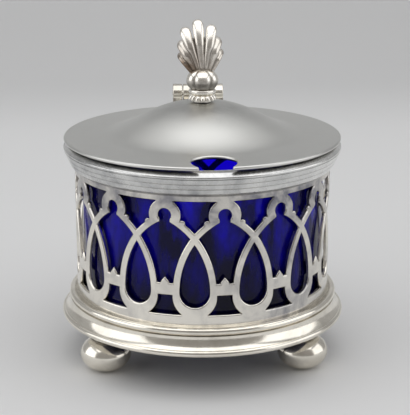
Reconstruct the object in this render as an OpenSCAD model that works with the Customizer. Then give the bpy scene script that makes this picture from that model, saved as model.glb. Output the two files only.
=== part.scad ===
// Drum mustard pot: a pierced silver gallery on a moulded base with three ball feet, a reeded rim,
// a blue glass liner, a hinged bell lid with a spoon notch and a shell finial, and a scroll handle.
// Millimetres, +Z up. The origin is on the drum's axis, on the plane that the feet stand on.
// The front, with the spoon notch, faces -Y. The hinge and the handle are at +Y.

/* [Drum] */
// Outer radius of the pierced drum
drum_r = 27.6; // [26.5:0.1:30]
// Thickness of the drum's sheet
drum_wall = 0.8; // [0.6:0.1:1.1]
// Plain strip under the piercing
lower_strip_h = 2.7; // [2:0.1:4]
// Height of the pierced pattern
pattern_h = 23.9; // [23.4:0.1:26]
// Plain strip over the piercing, up to the rim band
upper_strip_h = 1.5; // [1:0.1:3]

/* [Pierced pattern] */
// Number of repeats round the drum
pattern_repeats = 14; // [12:1:15]
// Angle from the front to the first urn's centre
pattern_turn = 7.7; // [0:0.1:25]
// Width of the silver strips between the urns, tears and triangles
strip_w = 1.45; // [1:0.05:1.8]
// Radius of the round hole at an urn's head
head_hole_r = 1.35; // [1:0.05:1.6]
// Width of the silver ring round the head
head_ring_w = 2.05; // [1.6:0.05:2.3]
// Distance of the head's centre below the pattern's top
head_drop = 2.9; // [2.6:0.1:3.4]
// Half width of an urn's neck
neck_half_w = 1.05; // [0.7:0.05:1.2]
// Radius of the urn's shoulders
shoulder_r = 14; // [12.5:0.1:15]
// Sideways place of the shoulders' centres
shoulder_x = 5.4; // [5:0.1:6]
// Height of the shoulders' centres in the pattern
shoulder_v = 7.1; // [6.5:0.1:7.8]
// Height of the urn's flat foot in the pattern
urn_foot_v = 6.7; // [6:0.1:8]
// Height of the pointed cusp in the urn's foot
cusp_h = 1.4; // [0.8:0.1:2]
// Half width of the cusp
cusp_half_w = 0.9; // [0.5:0.05:1.3]
// Radius of a teardrop's round bottom
tear_r = 3.1; // [2.7:0.05:3.3]
// Radius of a teardrop's long sides
tear_side_r = 18.3; // [16:0.1:22]
// Height of the teardrop's round bottom in the pattern
tear_v = 4.7; // [4.5:0.1:5.2]
// Height of the small trapezoid under each urn
trapezoid_h = 4.1; // [3.6:0.1:4.6]

/* [Rim band] */
// Height of the reeded band
band_h = 4.9; // [4.4:0.1:6]
// How far the band stands out from the drum at its top
band_out = 1.9; // [1.6:0.1:2.5]
// How much the band narrows towards its bottom edge
band_taper = 0.4; // [0:0.05:0.6]
// Thickness of the lip that covers the drum's top edge
lip_h = 0.8; // [0.6:0.1:1.2]
// How far the lip reaches inside the drum
lip_in = 0.3; // [0.1:0.05:0.4]
// Radius of the bead round the band's top
top_bead_r = 0.6; // [0.5:0.05:0.8]
// Depth of the grooves between the reeds
reed_depth = 0.2; // [0.1:0.05:0.3]

/* [Base] */
// Height of the base moulding
base_h = 6.15; // [5.8:0.05:7]
// Radius of the big roll's section
roll_r = 1.15; // [1:0.05:1.3]
// How far the big roll stands out from the drum
roll_out = 2.8; // [2.5:0.1:3.2]
// Height of the plain fillet under the roll
fillet_h = 1.1; // [0.9:0.05:1.3]
// How far the fillet stands out from the drum
fillet_out = 1.4; // [1.2:0.05:1.6]
// Radius of the small bead at the top of the moulding
small_bead_r = 0.45; // [0.35:0.05:0.55]
// Thickness of the ring that carries the drum and the liner
seat_h = 1; // [0.8:0.1:1.5]
// Width of the seat ring
seat_w = 10.6; // [9:0.1:14]

/* [Feet] */
// Radius of a ball foot
foot_ball_r = 5.45; // [5:0.05:5.8]
// Depth of the worn flat that a ball stands on
foot_wear = 0.15; // [0.1:0.05:0.3]
// Height of the base above the ground
foot_h = 8.75; // [8.3:0.05:9.3]
// Height of the collar between a ball and the base
foot_pad_h = 1.2; // [0.8:0.1:1.6]
// How far a collar flares out towards the base
foot_pad_flare = 0.7; // [0.3:0.1:1]
// Distance of the balls' centres inside the drum's outer face
foot_inset = 3.1; // [2.5:0.1:5]

/* [Liner] */
// Gap between the liner and the drum
liner_gap = 0.7; // [0.5:0.05:1.2]
// Thickness of the liner's wall
liner_wall = 2; // [1.5:0.1:3]
// Thickness of the liner's floor
liner_floor = 2.6; // [2:0.1:4]
// Distance of the liner's rim below the band's top
liner_drop = 0.5; // [0.2:0.1:2]
// Radius of the liner's bottom corner
liner_corner_r = 3; // [2.5:0.1:5]

/* [Lid] */
// How far the lid reaches past the band
lid_overhang = 0.5; // [0.3:0.05:1]
// Thickness of the lid's sheet
lid_sheet = 0.8; // [0.6:0.05:1]
// Gap between the band and the closed lid
lid_gap = 0.45; // [0.4:0.05:0.8]
// Rise of the brim for each millimetre inwards
brim_slope = 0.02; // [0.01:0.01:0.1]
// Radius of the lid's bell
bell_r = 22; // [18:0.5:24]
// Height of the bell over the brim's slope
bell_rise = 6.9; // [5.5:0.1:8]
// Fullness of the bell's crown
bell_fullness = 1.4; // [1:0.05:1.7]

/* [Spoon notch] */
// Widest part of the notch
notch_w = 8.5; // [7.6:0.1:9.5]
// Depth of the notch from the lid's edge
notch_depth = 6.3; // [5.6:0.1:7]
// Radius of the notch's inner corners
notch_corner_r = 3.1; // [2.8:0.1:3.6]
// Width of the notch's mouth at the lid's edge
notch_mouth_w = 6.3; // [5.5:0.1:7]
// Angle of the notch from the front
notch_turn = 3.4; // [-5:0.1:5]

/* [Hinge] */
// Length of the whole hinge
hinge_len = 12; // [11:0.1:14]
// Outer radius of the knuckles
knuckle_r = 2.2; // [2:0.05:2.3]
// Radius of the hinge pin
pin_r = 0.6; // [0.5:0.05:0.8]
// Running clearance of the lid's knuckles on the pin
pin_clearance = 0.05; // [0.02:0.01:0.1]
// Side gap between neighbouring knuckles
knuckle_gap = 0.15; // [0.1:0.05:0.3]
// Distance of the hinge axis behind the lid's edge
hinge_back = 2.4; // [2.3:0.05:2.8]
// Height of the hinge axis over the lid's underside
hinge_rise = 3.15; // [3.1:0.05:3.5]
// Gap between the lid's edge and the leaf on the pot
leaf_gap = 0.35; // [0.3:0.05:0.5]
// Thickness of the leaf on the pot, behind the lid's edge
leaf_t = 1.4; // [1.1:0.1:1.8]
// Thickness of the strap on the lid's brim
strap_t = 1.2; // [0.8:0.05:1.4]
// Length of the strap on the lid's brim
strap_len = 5.5; // [4:0.1:7]

/* [Finial] */
// Radius of the petalled collar
collar_r = 2.9; // [2.7:0.1:3.4]
// Height of the collar's top over the lid's crown
collar_top = 0.9; // [0.4:0.1:1.2]
// Number of petals on the collar
collar_petals = 8; // [6:1:10]
// Radius of the ring between collar and knop
finial_ring_r = 2.6; // [1.6:0.1:2.6]
// Height of the ring between collar and knop
finial_ring_h = 0.5; // [0.3:0.1:1]
// Radius of the fluted knop
knop_r = 3.25; // [2.8:0.05:3.6]
// Height of the knop
knop_h = 4.4; // [4:0.1:5]
// Number of lobes round the knop
knop_lobes = 6; // [5:1:8]
// Radius of the flutes between the lobes
flute_r = 0.8; // [0.5:0.05:1]
// Depth of the flutes
flute_depth = 0.55; // [0.3:0.05:0.7]
// Height of the shell fan over the knop
shell_h = 10.9; // [9:0.1:13]
// Half width of the shell's root on the knop
shell_root_w = 2.6; // [2:0.1:2.9]
// Angle that the shell leans back
shell_lean = 4; // [0:1:10]
// Angle that the hand-bent shell leans to the left
shell_tilt = 3; // [-4:0.5:4]
// Thickness of the plate behind the ribs
shell_web_t = 0.7; // [0.5:0.05:0.9]

/* [Handle] */
// Reach of the handle's middle line behind the hinge leaf
handle_reach = 17.2; // [15:0.1:20]
// Width of the handle's section at the top
handle_w = 5; // [4:0.1:5.6]
// Thickness of the handle's section at the top
handle_t = 3.6; // [3:0.1:4]
// Share of the section that is left at the bottom end
handle_end_share = 0.7; // [0.6:0.05:1]
// Thickness of the solder plates at the handle's ends
plate_t = 0.8; // [0.6:0.1:1.2]
// How far a solder plate stands out round the handle's end
plate_margin = 0.3; // [0.2:0.05:0.5]

/* [Hidden] */
$fn = 96;
// Allowance by which a cut runs past a face
past = 1;

// Heights, from the ground up
drum_foot_z = foot_h + seat_h;
base_top_z = foot_h + base_h;
pattern_z = base_top_z + lower_strip_h;
pattern_top_z = pattern_z + pattern_h;
band_z = pattern_top_z + upper_strip_h;
band_top_z = band_z + band_h;
drum_top_z = band_top_z - lip_h;
lid_z = band_top_z + lid_gap;

// Radii
drum_in_r = drum_r - drum_wall;
band_r = drum_r + band_out;
lid_r = band_r + lid_overhang;
liner_r = drum_in_r - liner_gap;

// Pierced pattern, drawn flat: X round the drum, Y up from the pattern's foot
pitch_deg = 360 / pattern_repeats;
half_pitch = PI * drum_r / pattern_repeats;
head_v = pattern_h - head_drop;
tear_side_x = tear_side_r - tear_r;

// Feet: a ball is cut off where its collar begins
foot_cut_z = foot_h - foot_pad_h;
foot_ball_z = foot_ball_r - foot_wear;
foot_circle_r = drum_r - foot_inset;
foot_cut_r = sqrt(pow(foot_ball_r, 2) - pow(foot_cut_z - foot_ball_z, 2));

// Lid
lid_steps = 24;
lid_edge_r = lid_sheet / 2;
lid_radii = [for (i = [0:lid_steps]) (lid_r - lid_edge_r) * i / lid_steps];
notch_r = lid_r - notch_depth + notch_corner_r;

// Hinge: the knuckles lie side by side along X, five in all
hinge_y = lid_r + hinge_back;
hinge_z = lid_z + hinge_rise;
knuckle_pitch = hinge_len / 5;
knuckle_len = knuckle_pitch - knuckle_gap;
leaf_y = lid_r + leaf_gap;
leaf_back_y = leaf_y + leaf_t;
leaf_foot_z = band_z + 0.2;

// Finial, from the lid's crown up
crown_z = lid_z + lid_sheet + brim_slope * lid_r + bell_rise;
collar_top_z = crown_z + collar_top;
knop_z = collar_top_z + finial_ring_h;
shell_z = knop_z + knop_h;
// Ribs of the shell, from the middle to one side: place of the tip, its drop below the top, its radius
ribs = [[0, 0, 1.1], [2.7, 1.4, 1], [4, 4.1, 0.85], [4.3, 7.2, 0.5]];
rib_root_r = 0.6;
rib_flatness = 0.8;
rib_roll = 0.7;
rib_sides = 14;
rib_steps = 12;
shell_foot_h = 0.6;

// Handle: two curves in the plane X = 0, from the hinge leaf out and down to the base's roll
handle_sides = 20;
handle_steps = 14;
handle_top_z = leaf_foot_z + handle_t / 2 + plate_margin + 0.2;
roll_z = foot_h + fillet_h + roll_r;
handle_start_y = leaf_back_y + plate_t;
handle_out_y = leaf_back_y + handle_reach;
handle_end_y = drum_r + roll_out + plate_t;
handle_mid_z = (handle_top_z + roll_z) / 2 + 4;
handle_path = [
    [
        [handle_start_y, handle_top_z],
        [handle_start_y + handle_reach * 0.45, handle_top_z],
        [handle_out_y, handle_top_z - 1.5],
        [handle_out_y, handle_mid_z]
    ],
    [
        [handle_out_y, handle_mid_z],
        [handle_out_y, handle_mid_z - 10],
        [handle_end_y + handle_reach * 0.6, roll_z],
        [handle_end_y, roll_z]
    ]
];

silver = [0.84, 0.83, 0.79];
satin_silver = [0.66, 0.65, 0.62];
cobalt = [0.08, 0.05, 0.45];

// Small helpers

// A 2-D shape and its mirror image in the Y axis
module both_sides() {
    children();
    mirror([1, 0]) children();
}

// A ring of copies at equal angles
module ring_of(count) {
    for (i = [0:count - 1]) rotate([0, 0, i * 360 / count]) children();
}

// Closed skin over a list of rings, each of as many points
module tube(rings) {
    sides = len(rings[0]);
    last = len(rings) - 1;
    walls = [for (k = [0:last - 1], i = [0:sides - 1])
        let (j = (i + 1) % sides, a = k * sides, b = a + sides)
        each [[a + i, b + i, b + j], [a + i, b + j, a + j]]];
    start = [for (i = [0:sides - 1]) i];
    end = [for (i = [sides - 1:-1:0]) last * sides + i];
    polyhedron(points = [for (ring = rings) each ring], faces = concat([start, end], walls));
}

// Pushes a flat drawing radially through the drum's wall, at an angle from the front
module pierce(angle) {
    rotate([0, 0, angle])
        translate([0, past - drum_in_r + drum_wall, pattern_z])
            rotate([90, 0, 0]) linear_extrude(height = 3 * drum_wall + 2 * past) children();
}

// Drum

// Urn with a round head, a narrow neck, curved shoulders and a cusped foot
module urn_2d() {
    translate([0, head_v]) circle(r = head_hole_r);
    neck_v = shoulder_v + sqrt(shoulder_r * shoulder_r - shoulder_x * shoulder_x) - past;
    translate([-neck_half_w, neck_v]) square([2 * neck_half_w, head_v - neck_v]);
    difference() {
        intersection() {
            translate([shoulder_x, shoulder_v]) circle(r = shoulder_r);
            translate([-shoulder_x, shoulder_v]) circle(r = shoulder_r);
            translate([-half_pitch, urn_foot_v]) square([2 * half_pitch, pattern_h]);
        }
        both_sides() translate([half_pitch + tear_side_x, tear_v]) circle(r = tear_side_r + strip_w);
        polygon([[-cusp_half_w, urn_foot_v - past], [-cusp_half_w, urn_foot_v + 0.3],
                 [0, urn_foot_v + cusp_h], [cusp_half_w, urn_foot_v + 0.3],
                 [cusp_half_w, urn_foot_v - past]]);
    }
}

// Teardrop that points up between two urns
module tear_2d() {
    translate([0, tear_v]) circle(r = tear_r);
    intersection() {
        translate([-tear_side_x, tear_v]) circle(r = tear_side_r);
        translate([tear_side_x, tear_v]) circle(r = tear_side_r);
        translate([-tear_r, tear_v]) square([2 * tear_r, pattern_h]);
    }
}

// Triangle with hollow sides over a teardrop, between two urns' heads
module triangle_2d() {
    difference() {
        translate([-half_pitch, shoulder_v]) square([2 * half_pitch, pattern_h - shoulder_v]);
        both_sides() {
            translate([half_pitch, head_v]) circle(r = head_hole_r + head_ring_w);
            translate([half_pitch + shoulder_x, shoulder_v]) circle(r = shoulder_r + strip_w);
            translate([half_pitch / 2, shoulder_v - past]) square([half_pitch, shoulder_r + past]);
        }
        translate([-half_pitch, shoulder_v - past]) square([2 * half_pitch, shoulder_r / 2]);
    }
}

// Trapezoid with hollow sides under an urn's foot
module trapezoid_2d() {
    difference() {
        translate([-half_pitch, 0]) square([2 * half_pitch, trapezoid_h]);
        both_sides() {
            translate([half_pitch, tear_v - 0.9]) circle(r = tear_r + strip_w + 0.1);
            translate([half_pitch - strip_w, -past]) square([2 * strip_w, trapezoid_h + 2 * past]);
        }
    }
}

// Sheet drum, pierced all round
module pierced_gallery() {
    color(silver) difference() {
        translate([0, 0, drum_foot_z]) cylinder(r = drum_r, h = drum_top_z - drum_foot_z);
        translate([0, 0, drum_foot_z - past])
            cylinder(r = drum_in_r, h = drum_top_z - drum_foot_z + 2 * past);
        for (i = [0:pattern_repeats - 1]) {
            pierce(pattern_turn + i * pitch_deg) {
                urn_2d();
                trapezoid_2d();
            }
            pierce(pattern_turn + (i + 0.5) * pitch_deg) {
                tear_2d();
                triangle_2d();
            }
        }
    }
}

// Rim band

// Section of the reeded band: a tapered strip, a bead at the top and two grooves
module band_2d() {
    bead_r = band_r - top_bead_r;
    groove_step = (band_h - 2 * top_bead_r) / 3;
    translate([drum_in_r - lip_in, drum_top_z]) square([bead_r - drum_in_r + lip_in, lip_h]);
    translate([bead_r, band_top_z - top_bead_r]) circle(r = top_bead_r);
    difference() {
        polygon([[drum_r, band_z], [band_r - band_taper, band_z],
                 [band_r - reed_depth, band_top_z - 2 * top_bead_r],
                 [bead_r, band_top_z - 2 * top_bead_r], [bead_r, band_top_z - lip_h / 2],
                 [drum_r, band_top_z - lip_h / 2]]);
        for (i = [1:2])
            translate([band_r - reed_depth - band_taper * (1 - i / 3) / 2, band_z + i * groove_step])
                circle(r = reed_depth);
    }
}

module top_rim_band() {
    color(silver) rotate_extrude() band_2d();
}

// Base

// Section of the base moulding: bead and cove over a big roll, with a plain fillet below
module base_2d() {
    roll_x = drum_r + roll_out - roll_r;
    roll_top_z = roll_z + roll_r;
    bead_z = base_top_z - small_bead_r - 0.3;
    cove_r = bead_z - small_bead_r - roll_top_z;
    difference() {
        union() {
            translate([roll_x, roll_z]) circle(r = roll_r);
            translate([drum_r, bead_z - small_bead_r]) square([small_bead_r, 2 * small_bead_r + 0.3]);
            translate([drum_r + small_bead_r, bead_z]) circle(r = small_bead_r);
            polygon([[drum_r, foot_h], [drum_r + fillet_out, foot_h],
                     [roll_x, foot_h + fillet_h + 0.1], [roll_x, roll_top_z],
                     [roll_x + 0.3, roll_top_z + 0.2], [roll_x + 0.3, bead_z - small_bead_r],
                     [drum_r, bead_z - small_bead_r]]);
        }
        translate([roll_x + 0.3, roll_top_z + 0.2 + cove_r]) circle(r = cove_r);
    }
}

module base_moulding() {
    color(silver) rotate_extrude() base_2d();
}

// Flat ring inside the moulding, under the drum and the liner
module liner_seat_ring() {
    color(silver) translate([0, 0, foot_h]) difference() {
        cylinder(r = drum_r, h = seat_h);
        translate([0, 0, -past]) cylinder(r = drum_r - seat_w, h = seat_h + 2 * past);
    }
}

// Feet

// Ball foot with a worn flat below, at an angle from the front
module foot(angle) {
    color(silver) rotate([0, 0, angle]) translate([0, -foot_circle_r, 0]) intersection() {
        translate([0, 0, foot_ball_z]) sphere(r = foot_ball_r);
        cylinder(r = 2 * foot_ball_r, h = foot_cut_z);
    }
}

// Flared collar that joins a ball to the base, cut off flush with the base's edge
module foot_pad(angle) {
    color(silver) intersection() {
        rotate([0, 0, angle]) translate([0, -foot_circle_r, foot_cut_z])
            cylinder(r1 = foot_cut_r, r2 = foot_cut_r + foot_pad_flare, h = foot_pad_h);
        cylinder(r = drum_r + fillet_out, h = foot_h);
    }
}

// Liner

// Glass beaker with a rounded rim and a rounded bottom corner
module liner_2d() {
    in_r = liner_r - liner_wall;
    rim_r = liner_wall / 2;
    rim_z = band_top_z - liner_drop - rim_r;
    in_z = drum_foot_z + liner_floor;
    difference() {
        union() {
            translate([liner_r - liner_corner_r, drum_foot_z + liner_corner_r]) circle(r = liner_corner_r);
            translate([0, drum_foot_z]) square([liner_r - liner_corner_r, rim_z - drum_foot_z]);
            translate([0, drum_foot_z + liner_corner_r])
                square([liner_r, rim_z - drum_foot_z - liner_corner_r]);
            translate([liner_r - rim_r, rim_z]) circle(r = rim_r);
        }
        translate([0, in_z + liner_corner_r]) square([in_r, band_top_z - in_z]);
        translate([0, in_z]) square([in_r - liner_corner_r, band_top_z - in_z]);
        translate([in_r - liner_corner_r, in_z + liner_corner_r]) circle(r = liner_corner_r);
    }
}

module glass_liner() {
    color(cobalt) rotate_extrude() liner_2d();
}

// Lid

// Height of the lid's top at a radius: a sloping brim with a bell on it
function lid_top(r) =
    lid_z + lid_sheet + brim_slope * (lid_r - r)
    + (r < bell_r ? bell_rise * (1 + cos(180 * pow(r / bell_r, bell_fullness))) / 2 : 0);

// Everything under the lid's top surface, out past its edge, for seating what stands on the lid
module under_lid() {
    out_r = lid_r + hinge_back;
    edge_z = lid_top(lid_r - lid_edge_r);
    rotate_extrude()
        polygon(concat([[0, band_top_z], [out_r, band_top_z], [out_r, edge_z]],
                       [for (i = [lid_steps:-1:0]) [lid_radii[i], lid_top(lid_radii[i])]]));
}

// Outline of the spoon notch, seen from above, at the front
module notch_2d() {
    both_sides() translate([notch_w / 2 - notch_corner_r, -notch_r]) circle(r = notch_corner_r);
    translate([-notch_w / 2 + notch_corner_r, -notch_r - notch_corner_r])
        square([notch_w - 2 * notch_corner_r, 2 * notch_corner_r]);
    translate([-notch_mouth_w / 2, -lid_r - past]) square([notch_mouth_w, lid_r + past - notch_r]);
}

// Bell-shaped sheet with a round edge
module lid_cover() {
    color(satin_silver) difference() {
        rotate_extrude() {
            polygon(concat([for (r = lid_radii) [r, lid_top(r) - lid_sheet]],
                           [for (i = [lid_steps:-1:0]) [lid_radii[i], lid_top(lid_radii[i])]]));
            translate([lid_r - lid_edge_r, lid_top(lid_r - lid_edge_r) - lid_edge_r]) circle(r = lid_edge_r);
        }
        rotate([0, 0, notch_turn]) translate([0, 0, lid_z - past])
            linear_extrude(height = bell_rise + 2 * past) notch_2d();
    }
}

// Hinge

// Centre of a knuckle along X, counted from -2 to 2
function knuckle_x(i) = i * knuckle_pitch;

// Tube of the hinge's barrel
module knuckle(i, bore_r) {
    translate([knuckle_x(i), hinge_y, hinge_z]) rotate([0, 90, 0]) difference() {
        cylinder(r = knuckle_r, h = knuckle_len, center = true);
        cylinder(r = bore_r, h = knuckle_len + 2 * past, center = true);
    }
}

// The whole barrel as one round bar, for cutting seats
module barrel() {
    translate([-hinge_len, hinge_y, hinge_z]) rotate([0, 90, 0])
        cylinder(r = knuckle_r, h = 2 * hinge_len);
}

module body_knuckle(i) {
    color(silver) knuckle(i, pin_r);
}

module lid_knuckle(i) {
    color(silver) knuckle(i, pin_r + pin_clearance);
}

// Leaf on the rim band, with a post up to each of the pot's knuckles
module hinge_body_leaf() {
    color(silver) difference() {
        union() {
            translate([-hinge_len / 2, drum_r, leaf_foot_z])
                cube([hinge_len, leaf_back_y - drum_r, band_top_z - leaf_foot_z]);
            for (i = [-2, 0, 2])
                translate([knuckle_x(i) - knuckle_len / 2, leaf_y, leaf_foot_z])
                    cube([knuckle_len, leaf_t, hinge_z - leaf_foot_z]);
        }
        cylinder(r = band_r, h = lid_z);
        barrel();
    }
}

// Strap on the lid's brim, with a tongue out to each of the lid's knuckles
module hinge_lid_leaf() {
    strap_y = lid_r - strap_len;
    strap_top_z = lid_top(strap_y) + strap_t;
    tongue_z = hinge_z - knuckle_r + 0.1;
    color(silver) difference() {
        union() {
            translate([-1.5 * knuckle_pitch, strap_y, lid_z])
                cube([3 * knuckle_pitch, strap_len - leaf_gap, strap_top_z - lid_z]);
            for (i = [-1, 1])
                translate([knuckle_x(i) - knuckle_len / 2, lid_r - strap_len / 2, tongue_z])
                    cube([knuckle_len, hinge_y - lid_r + strap_len / 2, strap_top_z - tongue_z]);
        }
        under_lid();
        barrel();
    }
}

// Wire pin through the five knuckles
module hinge_pin() {
    color(silver) translate([-hinge_len / 2, hinge_y, hinge_z]) rotate([0, 90, 0])
        cylinder(r = pin_r, h = hinge_len);
}

// Finial

// Ring of petals that lies on the lid's crown, with a plain ring on top
module finial_collar() {
    petal_r = collar_r * sin(180 / collar_petals);
    color(silver) {
        difference() {
            intersection() {
                translate([0, 0, lid_z]) linear_extrude(height = collar_top_z - lid_z) {
                    ring_of(collar_petals) translate([collar_r - petal_r, 0]) circle(r = petal_r);
                    circle(r = collar_r - petal_r);
                }
                translate([0, 0, collar_top_z - 2 * collar_r]) sphere(r = 2 * collar_r);
            }
            under_lid();
        }
        translate([0, 0, collar_top_z - collar_top / 2])
            cylinder(r = finial_ring_r, h = finial_ring_h + collar_top / 2);
    }
}

// Melon-shaped knop, fluted between its lobes
module finial_knop() {
    color(silver) translate([0, 0, knop_z]) difference() {
        intersection() {
            translate([0, 0, knop_h / 2]) sphere(r = knop_r);
            cylinder(r = 2 * knop_r, h = knop_h);
        }
        ring_of(knop_lobes) translate([knop_r + flute_r - flute_depth, 0, -past])
            cylinder(r = flute_r, h = knop_h + 2 * past);
    }
}

// Points along a rib: it bows back and rolls forward at its tip
function rib_point(i, t) =
    let (root_x = shell_root_w * i / 3, tip_z = shell_h - ribs[i][1])
    [root_x + (ribs[i][0] - root_x) * t, rib_roll * (2 * t * (1 - t) - t * t), tip_z * t];

// Rings of a rib's flattened section, swelling to a round tip
function rib_ring(i, k) =
    let (t = sin(90 * k / rib_steps),
         lean = rib_point(i, 1) - rib_point(i, 0),
         across = [lean[2], 0, -lean[0]] / norm([lean[2], lean[0]]),
         r = (rib_root_r + (ribs[i][2] - rib_root_r) * t) * sqrt(1.02 - pow(t, 6)))
    [for (j = [0:rib_sides - 1])
        let (a = 360 * j / rib_sides)
        rib_point(i, t) + across * r * cos(a) + [0, r * rib_flatness * sin(a), 0]];

module shell_rib(i) {
    tube([for (k = [0:rib_steps]) rib_ring(i, k)]);
}

// Fan of seven ribs with a plate behind them, on a foot that stands on the knop
module finial_shell() {
    side = [for (i = [0:len(ribs) - 1]) rib_point(i, 0.6)];
    reach = 2 * shell_h;
    color(silver) translate([0, 0, shell_z]) intersection() {
        union() {
            rotate([-shell_lean, -shell_tilt, 0]) {
                for (i = [0:len(ribs) - 1]) {
                    shell_rib(i);
                    if (i > 0) mirror([1, 0, 0]) shell_rib(i);
                }
                rotate([90, 0, 0]) translate([0, 0, -shell_web_t])
                    linear_extrude(height = shell_web_t)
                        polygon(concat([[-shell_root_w, -past]],
                                       [for (i = [len(ribs) - 1:-1:1]) [-side[i][0], side[i][2]]],
                                       [for (p = side) [p[0], p[2]]], [[shell_root_w, -past]]));
            }
            linear_extrude(height = shell_foot_h) scale([1, 0.5]) circle(r = shell_root_w, $fn = 24);
        }
        translate([-reach / 2, -reach / 2, 0]) cube(reach);
    }
}

// Handle

// Point and direction on a curve of four control points, at t from 0 to 1
function curve_point(p, t) =
    pow(1 - t, 3) * p[0] + 3 * pow(1 - t, 2) * t * p[1] + 3 * (1 - t) * t * t * p[2] + pow(t, 3) * p[3];
function curve_slope(p, t) =
    3 * pow(1 - t, 2) * (p[1] - p[0]) + 6 * (1 - t) * t * (p[2] - p[1]) + 3 * t * t * (p[3] - p[2]);

// Rings of the oval section, shrinking along the handle
function handle_ring(k) =
    let (curve = k <= handle_steps ? 0 : 1,
         t = (k - curve * handle_steps) / handle_steps,
         middle = curve_point(handle_path[curve], t),
         slope = curve_slope(handle_path[curve], t),
         across = [-slope[1], slope[0]] / norm(slope),
         share = 1 - (1 - handle_end_share) * k / (2 * handle_steps))
    [for (i = [0:handle_sides - 1])
        let (a = 360 * i / handle_sides, n = sin(a) * share * handle_t / 2)
        [cos(a) * share * handle_w / 2, middle[0] + across[0] * n, middle[1] + across[1] * n]];

// Scroll handle, one swept oval
module handle() {
    color(silver) tube([for (k = [0:2 * handle_steps]) handle_ring(k)]);
}

// Round plate, flat above and below, between the hinge leaf and the handle's upper end
module handle_upper_plate() {
    half_t = handle_t / 2 + plate_margin;
    color(silver) translate([0, handle_start_y, handle_top_z]) rotate([90, 0, 0])
        linear_extrude(height = plate_t) intersection() {
            circle(r = handle_w / 2 + plate_margin);
            square([2 * handle_w, 2 * half_t], center = true);
        }
}

// Round plate between the base's roll and the handle's lower end
module handle_lower_plate() {
    color(silver) difference() {
        translate([0, handle_end_y, roll_z]) rotate([90, 0, 0])
            cylinder(r = handle_w * handle_end_share / 2 + plate_margin, h = plate_t + roll_r);
        rotate_extrude() {
            base_2d();
            translate([0, foot_h]) square([drum_r + roll_out - roll_r, base_h]);
        }
    }
}

pierced_gallery();
top_rim_band();
base_moulding();
liner_seat_ring();
glass_liner();
foot(-60);  // foot_front_left
foot(60);  // foot_front_right
foot(180);  // foot_rear
foot_pad(-60);  // foot_pad_front_left
foot_pad(60);  // foot_pad_front_right
foot_pad(180);  // foot_pad_rear
hinge_body_leaf();
body_knuckle(-2);  // hinge_body_knuckle_left
body_knuckle(0);  // hinge_body_knuckle_middle
body_knuckle(2);  // hinge_body_knuckle_right
hinge_pin();
handle();
handle_upper_plate();
handle_lower_plate();
lid_cover();
hinge_lid_leaf();
lid_knuckle(-1);  // hinge_lid_knuckle_left
lid_knuckle(1);  // hinge_lid_knuckle_right
finial_collar();
finial_knop();
finial_shell();
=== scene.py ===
"""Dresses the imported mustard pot: pierced silver drum, cobalt liner and hinged lid with a shell finial.

Shapes are written in millimetres and become metres when they are made into meshes.
"""

from __future__ import annotations

import logging
import math
from dataclasses import dataclass, field
from enum import Enum
from typing import Callable, Iterable, Sequence

import bmesh
import bpy
import numpy as np
from mathutils import Matrix, Vector
from mathutils.geometry import delaunay_2d_cdt


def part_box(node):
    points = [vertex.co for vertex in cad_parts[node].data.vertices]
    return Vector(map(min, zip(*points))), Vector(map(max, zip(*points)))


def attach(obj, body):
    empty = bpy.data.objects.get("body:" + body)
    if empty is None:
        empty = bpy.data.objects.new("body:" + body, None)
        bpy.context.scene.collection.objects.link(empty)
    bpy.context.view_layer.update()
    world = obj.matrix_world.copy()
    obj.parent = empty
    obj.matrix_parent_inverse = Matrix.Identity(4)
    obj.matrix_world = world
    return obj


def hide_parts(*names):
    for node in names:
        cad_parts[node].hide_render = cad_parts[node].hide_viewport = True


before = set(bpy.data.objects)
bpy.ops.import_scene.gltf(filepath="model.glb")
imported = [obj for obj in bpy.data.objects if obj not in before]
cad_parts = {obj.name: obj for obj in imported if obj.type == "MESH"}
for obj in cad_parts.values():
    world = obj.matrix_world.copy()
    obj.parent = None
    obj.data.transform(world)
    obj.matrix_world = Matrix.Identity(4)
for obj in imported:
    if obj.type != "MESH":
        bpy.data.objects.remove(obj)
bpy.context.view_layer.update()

LOG = logging.getLogger("mustard_pot")
MM = 0.001
# How far the base's visible foot lies above the solid's, in millimetres
BASE_LIFT = 0.85
Point = tuple[float, float]
Triangle = tuple[int, int, int]
Rows = Sequence[Sequence[Sequence[float]]]
# What a stain adds to each point, from the points' places and normals
Rule = Callable[[np.ndarray, np.ndarray], np.ndarray]


class Body(Enum):
    """The two bodies that pieces ride on."""

    POT = "pot"
    LID = "lid"


class Slot(Enum):
    """The record's material slots."""

    POLISHED = "polished_silver"
    PIERCED = "pierced_silver"
    SATIN = "satin_silver"
    COBALT = "cobalt_glass"


def corner_low(node: str) -> Vector:
    """Returns the lowest corner of a CAD node's box, in millimetres."""
    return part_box(node)[0] / MM


def corner_high(node: str) -> Vector:
    """Returns the highest corner of a CAD node's box, in millimetres."""
    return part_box(node)[1] / MM


def linear(hex_code: str) -> tuple[float, float, float, float]:
    """Turns an sRGB hex colour into linear values.

    Args:
        hex_code: six hex digits.

    Returns:
        Linear red, green and blue, and an alpha of 1.
    """
    shares = [int(hex_code[i:i + 2], 16) / 255 for i in (0, 2, 4)]
    red, green, blue = (c / 12.92 if c <= 0.04045 else ((c + 0.055) / 1.055) ** 2.4 for c in shares)
    return (red, green, blue, 1.0)


def per_mm(size_mm: float) -> float:
    """Returns the texture scale at which one pattern cell measures size_mm."""
    return 1 / (size_mm * MM)


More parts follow.
